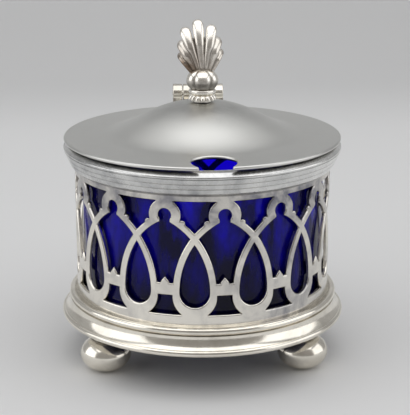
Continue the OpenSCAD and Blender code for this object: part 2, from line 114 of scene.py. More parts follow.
def put(tree: bpy.types.NodeTree, kind: str, inputs: dict | None = None,
        **settings: object) -> bpy.types.Node:
    """Adds one node with its settings, and fills its inputs.

    Args:
        tree: the node tree that the node goes into.
        kind: the node's type name.
        inputs: a value or an output socket for each input, by name or index.
        settings: the node's own properties.

    Returns:
        The new node.
    """
    node = tree.nodes.new(kind)
    for name, value in settings.items():
        setattr(node, name, value)
    for key, value in (inputs or {}).items():
        if isinstance(value, bpy.types.NodeSocket):
            tree.links.new(value, node.inputs[key])
        else:
            node.inputs[key].default_value = value
    return node


def linked(name: str, data: bpy.types.ID) -> bpy.types.Object:
    """Makes an object and links it to the scene.

    Args:
        name: the object's name.
        data: its mesh, lamp or camera.

    Returns:
        The object.
    """
    made = bpy.data.objects.new(name, data)
    bpy.context.scene.collection.objects.link(made)
    return made


def started(name: str) -> tuple[bpy.types.Material, bpy.types.Node]:
    """Starts a material.

    Args:
        name: the finish's name.

    Returns:
        The material and its main shader.
    """
    made = bpy.data.materials.new(name)
    made.use_nodes = True
    return made, made.node_tree.nodes["Principled BSDF"]


def repeater(name: str, inputs: dict[str, str]) -> bpy.types.NodeTree:
    """Starts a Geometry Nodes tree that repeats a shape and dresses it.

    Args:
        name: the tree's name.
        inputs: the inputs between the shape and the finish, each with its kind of socket.

    Returns:
        The tree with its sockets.
    """
    tree = bpy.data.node_groups.new(name, "GeometryNodeTree")
    sockets = {"Geometry": "NodeSocketGeometry", **inputs, "Finish": "NodeSocketMaterial"}
    for label, kind in sockets.items():
        tree.interface.new_socket(label, in_out="INPUT", socket_type=kind)
    tree.interface.new_socket("Geometry", in_out="OUTPUT", socket_type="NodeSocketGeometry")
    return tree


# Outlines


def arc(centre: Point, radius: float, start: float, end: float, step: float = 0.3) -> list[Point]:
    """Draws an arc as points, both ends included.

    Args:
        centre: the arc's centre.
        radius: its radius.
        start: the first angle in degrees.
        end: the last angle in degrees.
        step: the longest chord.

    Returns:
        The points along the arc.
    """
    sweep = math.radians(end - start)
    count = max(2, math.ceil(abs(sweep) * radius / step))
    angles = [math.radians(start) + sweep * i / count for i in range(count + 1)]
    return [(centre[0] + radius * math.cos(a), centre[1] + radius * math.sin(a)) for a in angles]


def bearing(centre: Point, point: Point) -> float:
    """Returns the angle of a point seen from a centre, in degrees."""
    return math.degrees(math.atan2(point[1] - centre[1], point[0] - centre[0]))


def sweep(centre: Point, start: Point, end: Point, way: int = 0, step: float = 0.3) -> list[Point]:
    """Draws the arc between two points.

    Args:
        centre: the arc's centre.
        start: the point that it starts from.
        end: the point that it ends at.
        way: 1 for anticlockwise, -1 for clockwise and 0 for the shorter way.
        step: the longest chord.

    Returns:
        The points along the arc.
    """
    first, last = bearing(centre, start), bearing(centre, end)
    turn = (last - first) % 360
    if way < 0 or (way == 0 and turn > 180):
        turn -= 360
    return arc(centre, math.dist(centre, start), first, first + turn, step)


def meet(one: Point, one_r: float, two: Point, two_r: float, near: Point) -> Point:
    """Returns the crossing of two circles that lies nearer to a point.

    Args:
        one: the first centre.
        one_r: the first radius.
        two: the second centre.
        two_r: the second radius.
        near: a point close to the crossing wanted.

    Returns:
        The crossing.
    """
    gap = math.dist(one, two)
    along = (one_r ** 2 - two_r ** 2 + gap ** 2) / (2 * gap)
    side = math.sqrt(one_r ** 2 - along ** 2)
    ux, uy = (two[0] - one[0]) / gap, (two[1] - one[1]) / gap
    found = [(one[0] + along * ux - s * side * uy, one[1] + along * uy + s * side * ux)
             for s in (1, -1)]
    return min(found, key=lambda p: math.dist(p, near))


def filled(points: Sequence[Point], step: float = 0.4, closed: bool = False) -> list[Point]:
    """Adds points along a line wherever its own are further apart than a step.

    Args:
        points: the line's corners.
        step: the longest distance that is left.
        closed: whether the last point joins the first.

    Returns:
        The line's points, without doubles.
    """
    ends = list(points[1:]) + ([points[0]] if closed else [])
    line = [points[0]]
    for end in ends:
        start = line[-1]
        parts = math.ceil(math.dist(start, end) / step - 1e-6)
        across, up = end[0] - start[0], end[1] - start[1]
        line += [(start[0] + across * i / parts, start[1] + up * i / parts) for i in range(1, parts + 1)]
    return line[:-1] if closed else line


def mirrored(half: Sequence[Point], step: float = 0.35) -> list[Point]:
    """Closes half an outline, drawn from its top to its foot, with its mirror image."""
    other = [(-x, y) for x, y in reversed(half) if abs(x) > 1e-6]
    return filled(list(half) + other, step, closed=True)


def grown(outline: Sequence[Point], amount: float) -> list[Point]:
    """Moves a closed outline outwards, corner by corner.

    Args:
        outline: the outline's points, in either direction.
        amount: the distance, below zero to move inwards.

    Returns:
        The moved points, in the same order.
    """
    count = len(outline)
    area = sum(outline[i - 1][0] * outline[i][1] - outline[i][0] * outline[i - 1][1]
               for i in range(count))
    sign = 1 if area > 0 else -1
    moved = []
    for i, point in enumerate(outline):
        before = Vector(point) - Vector(outline[i - 1])
        after = Vector(outline[(i + 1) % count]) - Vector(point)
        n_before = Vector((before.y, -before.x)).normalized() * sign
        n_after = Vector((after.y, -after.x)).normalized() * sign
        middle = n_before + n_after
        share = max(middle.length_squared / 2, 0.5)
        moved.append(tuple(Vector(point) + middle * (amount / share)))
    return moved


def inside(points: np.ndarray, outline: Sequence[Point]) -> np.ndarray:
    """Tells which points lie inside a closed outline.

    Args:
        points: the points, one in each row.
        outline: the outline.

    Returns:
        True for each point inside.
    """
    x, y = points[:, 0], points[:, 1]
    hit = np.zeros(len(points), bool)
    for (x0, y0), (x1, y1) in zip(outline, [*outline[1:], outline[0]]):
        if y0 != y1:
            hit ^= ((y0 > y) != (y1 > y)) & (x < (x1 - x0) * (y - y0) / (y1 - y0) + x0)
    return hit


def filleted(corners: Sequence[tuple[float, float, float]], step: float = 0.08) -> list[Point]:
    """Draws a closed section whose corners have their own radii.

    Args:
        corners: for each corner its two coordinates and its radius, where 0 stays sharp.
        step: the longest chord of a rounded corner.

    Returns:
        The section's points.
    """
    line: list[Point] = []
    for i, (x, y, radius) in enumerate(corners):
        here = Vector((x, y))
        to_last = (Vector(corners[i - 1][:2]) - here).normalized()
        to_next = (Vector(corners[(i + 1) % len(corners)][:2]) - here).normalized()
        half = to_last.angle(to_next, math.pi) / 2
        if radius <= 0 or half > 1.55:
            line.append((x, y))
            continue
        reach = radius / math.tan(half)
        centre = here + (to_last + to_next).normalized() * (radius / math.sin(half))
        ends = tuple(here + to_last * reach), tuple(here + to_next * reach)
        line += sweep(tuple(centre), *ends, 0, step)
    return line


# Meshes


@dataclass
class Skin:
    """A surface in millimetres that grows patch by patch before it becomes a mesh."""

    points: list[Vector] = field(default_factory=list)
    faces: list[tuple[int, ...]] = field(default_factory=list)

    def add(self, points: Iterable[Sequence[float]], faces: Iterable[Sequence[int]]) -> Skin:
        """Adds points, and faces that count from the first of them.

        Args:
            points: the new points.
            faces: the new faces.

        Returns:
            The skin itself.
        """
        base = len(self.points)
        self.points += [Vector(p) for p in points]
        self.faces += [tuple(base + i for i in f) for f in faces]
        return self

    def rows(self, rows: Rows, ring: bool = True, loop: bool = False) -> Skin:
        """Joins rows of points with quads.

        Args:
            rows: rows of equally many points.
            ring: whether each row closes on itself.
            loop: whether the last row joins the first.

        Returns:
            The skin itself.
        """
        width, count = len(rows[0]), len(rows)
        faces = []
        for k in range(count if loop else count - 1):
            a, b = k * width, (k + 1) % count * width
            for i in range(width if ring else width - 1):
                j = (i + 1) % width
                faces.append((a + i, a + j, b + j, b + i))
        return self.add([p for row in rows for p in row], faces)

    def capped(self, rows: Rows) -> Skin:
        """Joins rows into a tube and closes both of its ends.

        Args:
            rows: rings of equally many points.

        Returns:
            The skin itself.
        """
        width, base = len(rows[0]), len(self.points)
        self.rows(rows)
        last = base + (len(rows) - 1) * width
        self.faces.append(tuple(range(base + width - 1, base - 1, -1)))
        self.faces.append(tuple(range(last, last + width)))
        return self

    def turned(self, section: Sequence[Point], sides: int = 240, loop: bool = True) -> Skin:
        """Turns a section of radius and height about the Z axis.

        Args:
            section: the points of the section.
            sides: how many steps the turn has.
            loop: whether the section is closed.

        Returns:
            The skin itself.
        """
        angles = [math.tau * i / sides for i in range(sides)]
        rows = [[(r * math.cos(a), r * math.sin(a), z) for a in angles] for r, z in section]
        return self.rows(rows, True, loop)

    def moved(self, place: Matrix) -> Skin:
        """Moves every point by a matrix."""
        self.points = [place @ p for p in self.points]
        return self

    def loose_mesh(self, name: str) -> bpy.types.Mesh:
        """Makes a mesh in metres whose patches aren't joined yet.

        Args:
            name: the mesh's name.

        Returns:
            The mesh.
        """
        mesh = bpy.data.meshes.new(name)
        mesh.from_pydata([p * MM for p in self.points], [], self.faces)
        return mesh

    def mesh(self, name: str, sharp_deg: float = 38, crevice_r: float = 0.35) -> bpy.types.Mesh:
        """Makes the finished mesh, in metres.

        Args:
            name: the mesh's name.
            sharp_deg: the angle past which an edge is shaded sharp.
            crevice_r: the groove radius that counts as a full crevice.

        Returns:
            A closed mesh whose faces point outwards, with its crevices marked.
        """
        mesh = self.loose_mesh(name)
        closed(mesh)
        smoothed(mesh, sharp_deg)
        mark_crevices(mesh, crevice_r)
        return mesh


@dataclass
class FlatSheet:
    """A flat sheet with openings, cut into triangles that keep every outline point."""

    rim: list[Point]
    openings: list[list[Point]]
    spots: list[Point]

    def points(self) -> list[Point]:
        """Returns the rim's, the openings' and the free points in one list."""
        return [p for line in [self.rim, *self.openings] for p in line] + self.spots

    def triangles(self) -> list[Triangle]:
        """Cuts the sheet.

        Returns:
            Triangles, anticlockwise, that count in the list of points().
        """
        edges, start = [], 0
        for line in [self.rim, *self.openings]:
            edges += [(start + i, start + (i + 1) % len(line)) for i in range(len(line))]
            start += len(line)
        made = delaunay_2d_cdt([Vector(p) for p in self.points()], edges, [], 0, 1e-6)
        if len(made[0]) > len(self.points()) or any(not own for own in made[3]):
            raise ValueError("the sheet's outlines cross")
        number = [own[0] for own in made[3]]
        cuts = [f for f in made[2] if len(f) == 3]
        middles = np.array([sum((made[0][i] for i in f), Vector((0, 0))) / 3 for f in cuts])
        kept = inside(middles, self.rim)
        for line in self.openings:
            kept &= ~inside(middles, line)
        return [tuple(number[i] for i in f) for f, keep in zip(cuts, kept) if keep]


def closed(mesh: bpy.types.Mesh) -> None:
    """Joins a mesh's patches and turns its faces outwards.

    Args:
        mesh: the mesh, which is changed in place.
    """
    shell = bmesh.new()
    shell.from_mesh(mesh)
    bmesh.ops.remove_doubles(shell, verts=shell.verts, dist=1e-6)
    bmesh.ops.dissolve_degenerate(shell, edges=shell.edges, dist=1e-8)
    bmesh.ops.recalc_face_normals(shell, faces=shell.faces)
    shell.to_mesh(mesh)
    shell.free()


def smoothed(mesh: bpy.types.Mesh, sharp_deg: float) -> None:
    """Shades a mesh smooth, apart from its sharp edges."""
    mesh.polygons.foreach_set("use_smooth", [True] * len(mesh.polygons))
    mesh.set_sharp_from_angle(angle=math.radians(sharp_deg))


def spread(mesh: bpy.types.Mesh) -> tuple[np.ndarray, np.ndarray]:
    """Reads a mesh's points.

    Args:
        mesh: the mesh.

    Returns:
        The points' places in millimetres, and their normals.
    """
    count = len(mesh.vertices)
    place, normal = np.empty(count * 3, np.float32), np.empty(count * 3, np.float32)
    mesh.vertices.foreach_get("co", place)
    mesh.vertex_normals.foreach_get("vector", normal)
    return place.reshape(-1, 3) / MM, normal.reshape(-1, 3)


def stain(mesh: bpy.types.Mesh, name: str, rule: Rule) -> None:
    """Adds to a point attribute that runs from 0 to 1.

    Args:
        mesh: the mesh to mark.
        name: the attribute, groove_and_shade for dark dirt and painted shade, haze_and_shade for a thin haze
            and painted shade.
        rule: what is added, from the points' places in millimetres and their normals.
    """
    place, normal = spread(mesh)
    mark = mesh.attributes.get(name) or mesh.attributes.new(name, "FLOAT", "POINT")
    value = np.zeros(len(place), np.float32)
    mark.data.foreach_get("value", value)
    mark.data.foreach_set("value", np.clip(value + rule(place, normal), 0, 1).astype(np.float32))


def mark_crevices(mesh: bpy.types.Mesh, crevice_r: float, passes: int = 2) -> None:
    """Marks grooves and ridges, from 0 to 1, as the attributes groove_and_shade and edge.

    Args:
        mesh: the mesh to mark.
        crevice_r: the hollow radius in millimetres that counts as 1.
        passes: how often a groove's mark is spread to the neighbours.
    """
    # Gentle curves stay unmarked, and each pass hands most of a groove's mark on
    edge_floor, groove_floor, handed_on = 0.3, 0.2, 0.8
    place, normal = spread(mesh)
    count = len(place)
    ends = np.empty(len(mesh.edges) * 2, np.int32)
    mesh.edges.foreach_get("vertices", ends)
    ends = np.concatenate([ends.reshape(-1, 2), ends.reshape(-1, 2)[:, ::-1]])
    step = place[ends[:, 1]] - place[ends[:, 0]]
    hollow = 2 * np.sum(normal[ends[:, 0]] * step, 1) / np.maximum(np.sum(step * step, 1), 1e-6)
    depth = np.zeros(count, np.float32)
    np.maximum.at(depth, ends[:, 0], hollow.astype(np.float32))
    ridge = np.zeros(count, np.float32)
    np.maximum.at(ridge, ends[:, 0], -hollow.astype(np.float32))
    edge = mesh.attributes.new("edge", "FLOAT", "POINT")
    edge.data.foreach_set("value", np.clip(ridge * crevice_r - edge_floor, 0, 1))
    depth = np.clip(depth * crevice_r - groove_floor, 0, 1)
    for _ in range(passes):
        total, near = np.zeros(count, np.float32), np.zeros(count, np.float32)
        np.add.at(total, ends[:, 0], depth[ends[:, 1]])
        np.add.at(near, ends[:, 0], 1)
        depth = np.maximum(depth, handed_on * total / np.maximum(near, 1))
    mark = mesh.attributes.new("groove_and_shade", "FLOAT", "POINT")
    mark.data.foreach_set("value", depth)


def cad_copy(node: str, bevel_mm: float, sharp_deg: float = 35) -> bpy.types.Mesh:
    """Copies a CAD node's mesh, merged, with its edges broken by a small bevel.

    Args:
        node: the CAD node.
        bevel_mm: the bevel's width.
        sharp_deg: the angle past which an edge is bevelled, or shaded sharp.

    Returns:
        The bevelled mesh.
    """
    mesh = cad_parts[node].data.copy()
    shell = bmesh.new()
    shell.from_mesh(mesh)
    bmesh.ops.remove_doubles(shell, verts=shell.verts, dist=2e-6)
    bmesh.ops.dissolve_limit(shell, angle_limit=math.radians(1), verts=shell.verts, edges=shell.edges)
    shell.to_mesh(mesh)
    shell.free()
    mesh.materials.clear()
    holder = linked(node + "_bevel", mesh)
    edge = holder.modifiers.new("edge", "BEVEL")
    edge.width = bevel_mm * MM
    edge.segments = 2
    edge.limit_method = "ANGLE"
    edge.angle_limit = math.radians(sharp_deg)
    finished = evaluated(holder)
    bpy.data.objects.remove(holder)
    smoothed(finished, sharp_deg)
    mark_crevices(finished, 0.3)
    return finished


def evaluated(holder: bpy.types.Object) -> bpy.types.Mesh:
    """Returns a plain mesh of an object with its modifiers."""
    graph = bpy.context.evaluated_depsgraph_get()
    return bpy.data.meshes.new_from_object(holder.evaluated_get(graph), depsgraph=graph)


def run_tree(mesh: bpy.types.Mesh, tree: bpy.types.NodeTree,
             values: dict[str, object]) -> bpy.types.Mesh:
    """Sends a mesh through a Geometry Nodes tree.

    Args:
        mesh: the mesh that the tree repeats.
        tree: the tree.
        values: a value for each of the tree's named inputs.

    Returns:
        The plain mesh that comes out.
    """
    holder = linked(tree.name, mesh)
    modifier = holder.modifiers.new("tree", "NODES")
    modifier.node_group = tree
    for socket in tree.interface.items_tree:
        if socket.in_out == "INPUT" and socket.name in values:
            modifier[socket.identifier] = values[socket.name]
    made = evaluated(holder)
    bpy.data.objects.remove(holder)
    return made


def ring_tree() -> bpy.types.NodeTree:
    """Builds the tree that repeats a shape at equal angles about the upright axis.

    Returns:
        The tree, with inputs for the count, the first angle and the finish.
    """
    tree = repeater("repeat_round_axis", {"Count": "NodeSocketInt", "Start angle": "NodeSocketFloat"})
    given = put(tree, "NodeGroupInput").outputs
    spots = put(tree, "GeometryNodeMeshLine", {"Count": given["Count"], "Offset": (0.0, 0.0, 0.0)})
    step = put(tree, "ShaderNodeMath", {0: math.tau, 1: given["Count"]}, operation="DIVIDE")
    number = put(tree, "GeometryNodeInputIndex")
    angle = put(tree, "ShaderNodeMath",
                {0: number.outputs[0], 1: step.outputs[0], 2: given["Start angle"]},
                operation="MULTIPLY_ADD")
    turn = put(tree, "ShaderNodeCombineXYZ", {"Z": angle.outputs[0]})
    copies = put(tree, "GeometryNodeInstanceOnPoints", {"Points": spots.outputs[0],
                                                        "Instance": given["Geometry"],
                                                        "Rotation": turn.outputs[0]})
    real = put(tree, "GeometryNodeRealizeInstances", {"Geometry": copies.outputs[0]})
    dressed = put(tree, "GeometryNodeSetMaterial", {"Geometry": real.outputs[0],
                                                    "Material": given["Finish"]})
    put(tree, "NodeGroupOutput", {"Geometry": dressed.outputs[0]})
    return tree


def fused(skin: Skin, voxel_mm: float, rounds: int) -> Skin:
    """Melts overlapping shapes into one cast skin.

    Args:
        skin: closed shapes that overlap.
        voxel_mm: the size of the detail that is kept.
        rounds: how often the result is smoothed.

    Returns:
        The melted skin.
    """
    # A metre for every ten millimetres keeps the voxel above the tool's smallest size
    unit = 0.1
    mesh = bpy.data.meshes.new("cast")
    mesh.from_pydata([p * unit for p in skin.points], [], skin.faces)
    holder = linked("cast", mesh)
    melt = holder.modifiers.new("melt", "REMESH")
    melt.mode = "VOXEL"
    melt.voxel_size = voxel_mm * unit
    soften = holder.modifiers.new("soften", "SMOOTH")
    soften.iterations = rounds
    soften.factor = 0.5
    made = evaluated(holder)
    bpy.data.objects.remove(holder)
    cast = Skin([v.co / unit for v in made.vertices], [tuple(p.vertices) for p in made.polygons])
    bpy.data.meshes.remove(made)
    return cast


def show(name: str, mesh: bpy.types.Mesh, finish: bpy.types.Material, body: Body,
         nodes: Sequence[str]) -> None:
    """Puts a finished mesh in the scene as a piece of the pot.

    Args:
        name: the piece's name.
        mesh: its mesh, in place.
        finish: its material.
        body: the body that it rides on.
        nodes: the CAD nodes that it stands for.
    """
    mesh.materials.clear()
    mesh.materials.append(finish)
    piece = linked(name, mesh)
    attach(piece, body.value)
    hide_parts(*nodes)
    LOG.info("%s: %d faces on %s for %s", name, len(mesh.polygons), body.value, ", ".join(nodes))


# Finishes


@dataclass(frozen=True)
class SilverFinish:
    """Old silver: a bright warm metal with faint waves, fine scratches and dark dirt in its hollows, and
    painted shade where a piece's mesh is marked for it.
    """

    name: str
    metal: str = "F4EFE4"
    tarnish_and_shade_hex: str = "3A332B"
    rough: float = 0.13
    rough_span: float = 0.08
    cloud_mm: float = 5
    wave_mm: float = 6
    wave_depth_mm: float = 0.012
    # Real scratches are finer: they are drawn as coarse as they need to show
    scratch_mm: float = 0.5
    scratch_stretch: float = 14
    scratch_depth_mm: float = 0.0015
    dirt_and_shade: float = 0.85
    grime_rough: float = 0.3
    least_rough: float = 0.06
    # Thin haze in patches, which also carries the painted shade that some pieces mark, and how much glossier
    # the rubbed edges are
    patch_mm: float = 9
    haze_and_shade: float = 0.35
    haze_and_shade_hex: str = "8F887A"
    edge_gloss: float = -0.08
    # The scratches run up and down, or else from side to side
    upright: bool = False

    def build(self) -> bpy.types.Material:
        """Makes the material.

        Returns:
            The material, to be put on a mesh.
        """
        made, shader = started(self.name)
        tree = made.node_tree
        place = put(tree, "ShaderNodeTexCoord").outputs["Object"]
        cloud = put(tree, "ShaderNodeTexNoise", {"Vector": place, "Scale": per_mm(self.cloud_mm),
                                                 "Detail": 3.0, "Roughness": 0.6}).outputs["Fac"]
        wave = put(tree, "ShaderNodeTexNoise", {"Vector": place, "Scale": per_mm(self.wave_mm),
                                                "Detail": 1.0}).outputs["Fac"]
        long = 1 / self.scratch_stretch
        stretch = (1.0, 1.0, long) if self.upright else (long, 1.0, 1.0)
        along = put(tree, "ShaderNodeMapping", {"Vector": place, "Scale": stretch}).outputs["Vector"]
        scratch = put(tree, "ShaderNodeTexNoise", {"Vector": along, "Scale": per_mm(self.scratch_mm),
                                                   "Detail": 4.0, "Roughness": 0.7}).outputs["Fac"]
        # The groove mark also holds painted shade that some pieces add to their meshes
        hollow = put(tree, "ShaderNodeAttribute", attribute_name="groove_and_shade").outputs["Fac"]
        patchy = put(tree, "ShaderNodeMapRange", {"Value": cloud, "From Min": 0.3, "From Max": 0.7,
                                                  "To Min": 0.5 * self.dirt_and_shade,
                                                  "To Max": self.dirt_and_shade}).outputs["Result"]
        dirt_and_shade = put(tree, "ShaderNodeMath", {0: hollow, 1: patchy}, operation="MULTIPLY",
                    use_clamp=True).outputs[0]
        blot = put(tree, "ShaderNodeTexNoise", {"Vector": place, "Scale": per_mm(self.patch_mm),
                                                "Detail": 4.0, "Roughness": 0.65,
                                                "Distortion": 0.4}).outputs["Fac"]
        haze_and_shade = put(tree, "ShaderNodeMapRange", {"Value": blot, "From Min": 0.45, "From Max": 0.7,
                                                "To Min": 0.0, "To Max": self.haze_and_shade}).outputs["Result"]
        # Painted shade, and other darker patches, that a piece marks on its mesh, laid on in the haze's grey
        shade_mark = put(tree, "ShaderNodeAttribute", attribute_name="haze_and_shade").outputs["Fac"]
        uneven = put(tree, "ShaderNodeMapRange", {"Value": blot, "From Min": 0.35, "From Max": 0.65,
                                                  "To Min": 0.3, "To Max": 1.0}).outputs["Result"]
        haze_and_shade_mix = put(tree, "ShaderNodeMath", {0: shade_mark, 1: uneven, 2: haze_and_shade}, operation="MULTIPLY_ADD",
                    use_clamp=True).outputs[0]
        aged_and_shaded = put(tree, "ShaderNodeMix", {0: haze_and_shade_mix, 6: linear(self.metal), 7: linear(self.haze_and_shade_hex)},
                   data_type="RGBA")
        tint = put(tree, "ShaderNodeMix", {0: dirt_and_shade, 6: aged_and_shaded.outputs[2], 7: linear(self.tarnish_and_shade_hex)},
                   data_type="RGBA")
        tree.links.new(tint.outputs[2], shader.inputs["Base Color"])
        worn = put(tree, "ShaderNodeMapRange", {"Value": cloud, "From Min": 0.3, "From Max": 0.7,
                                                "To Min": self.rough,
                                                "To Max": self.rough + self.rough_span}).outputs["Result"]
        lines = put(tree, "ShaderNodeMapRange", {"Value": scratch, "From Min": 0.55, "From Max": 0.75,
                                                 "To Min": 0.0, "To Max": self.rough_span}).outputs["Result"]
        both = put(tree, "ShaderNodeMath", {0: worn, 1: lines}, operation="ADD").outputs[0]
        dull = put(tree, "ShaderNodeMath", {0: dirt_and_shade, 1: self.grime_rough, 2: both},
                   operation="MULTIPLY_ADD").outputs[0]
        ridge = put(tree, "ShaderNodeAttribute", attribute_name="edge").outputs["Fac"]
        rubbed = put(tree, "ShaderNodeMath", {0: ridge, 1: self.edge_gloss, 2: dull},
                     operation="MULTIPLY_ADD").outputs[0]
        kept = put(tree, "ShaderNodeMath", {0: rubbed, 1: self.least_rough}, operation="MAXIMUM").outputs[0]
        tree.links.new(kept, shader.inputs["Roughness"])
        shader.inputs["Metallic"].default_value = 1.0
        bend = put(tree, "ShaderNodeBump", {"Height": wave, "Distance": self.wave_depth_mm * MM,
                                            "Strength": 1.0})
        fine = put(tree, "ShaderNodeBump", {"Height": scratch, "Distance": self.scratch_depth_mm * MM,
                                            "Strength": 1.0, "Normal": bend.outputs[0]})
        tree.links.new(fine.outputs[0], shader.inputs["Normal"])
        return made


@dataclass(frozen=True)
class CobaltGlass:
    """Blown cobalt glass: nearly black towards the bottom, with streaks of deep blue where light comes
    through, and a painted light on its back.
    """

    name: str = "blown_cobalt_glass"
    colour: str = "1C06FF"
    dark: str = "0A0828"
    rough: float = 0.03
    streak_mm: float = 4
    streak_stretch: float = 3
    ripple_mm: float = 7
    ripple_depth_mm: float = 0.03
    # Heights between which the wall passes from its dark at the bottom to clear
    dark_z: float = 20
    clear_z: float = 42
    foot_share: float = 0.12
    # The wall's back is painted a lighter blue over this stretch, a painted light, and lets more light
    # through there
    back_light_y: float = 10
    back_light_end_y: float = 18
    front_clear: float = 0.45
    back_clear: float = 0.92
    ior: float = 1.38
    specular: float = 0.15

    def build(self) -> bpy.types.Material:
        """Makes the material.

        Returns:
            The material, to be put on a mesh.
        """
        made, shader = started(self.name)
        tree = made.node_tree
        place = put(tree, "ShaderNodeTexCoord").outputs["Object"]
        axes = put(tree, "ShaderNodeSeparateXYZ", {0: place})
        height = axes.outputs["Z"]
        stretch = (1.0, 1.0, 1 / self.streak_stretch)
        upright = put(tree, "ShaderNodeMapping", {"Vector": place, "Scale": stretch})
        streak = put(tree, "ShaderNodeTexNoise", {"Vector": upright.outputs["Vector"],
                                                  "Scale": per_mm(self.streak_mm), "Detail": 3.0,
                                                  "Roughness": 0.55}).outputs["Fac"]
        thin = put(tree, "ShaderNodeMapRange", {"Value": streak, "From Min": 0.42, "From Max": 0.68,
                                                "To Min": 0.06, "To Max": 1.0}).outputs["Result"]
        clear = put(tree, "ShaderNodeMapRange", {"Value": height, "From Min": self.dark_z * MM,
                                                 "From Max": self.clear_z * MM, "To Min": self.foot_share,
                                                 "To Max": 1.0}).outputs["Result"]
        front = put(tree, "ShaderNodeMath", {0: thin, 1: clear}, operation="MULTIPLY").outputs[0]
        # Painted light: the back of the liner is coloured a lighter blue
        behind = put(tree, "ShaderNodeMapRange", {"Value": axes.outputs["Y"], "From Min": self.back_light_y * MM,
                                                  "From Max": self.back_light_end_y * MM}).outputs["Result"]
        share = put(tree, "ShaderNodeMath", {0: front, 1: behind}, operation="MAXIMUM").outputs[0]
        deep = put(tree, "ShaderNodeMix", {0: share, 6: linear(self.dark), 7: linear(self.colour)},
                   data_type="RGBA")
        tree.links.new(deep.outputs[2], shader.inputs["Base Color"])
        seen = put(tree, "ShaderNodeMapRange", {"Value": behind, "To Min": self.front_clear,
                                                "To Max": self.back_clear}).outputs["Result"]
        tree.links.new(seen, shader.inputs["Transmission Weight"])
        shader.inputs["IOR"].default_value = self.ior
        shader.inputs["Specular IOR Level"].default_value = self.specular
        shader.inputs["Roughness"].default_value = self.rough
        ripple = put(tree, "ShaderNodeTexNoise", {"Vector": place, "Scale": per_mm(self.ripple_mm),
                                                  "Detail": 1.0}).outputs["Fac"]
        bend = put(tree, "ShaderNodeBump", {"Height": ripple, "Distance": self.ripple_depth_mm * MM,
                                            "Strength": 1.0})
        tree.links.new(bend.outputs[0], shader.inputs["Normal"])
        return made


# Sub-assemblies


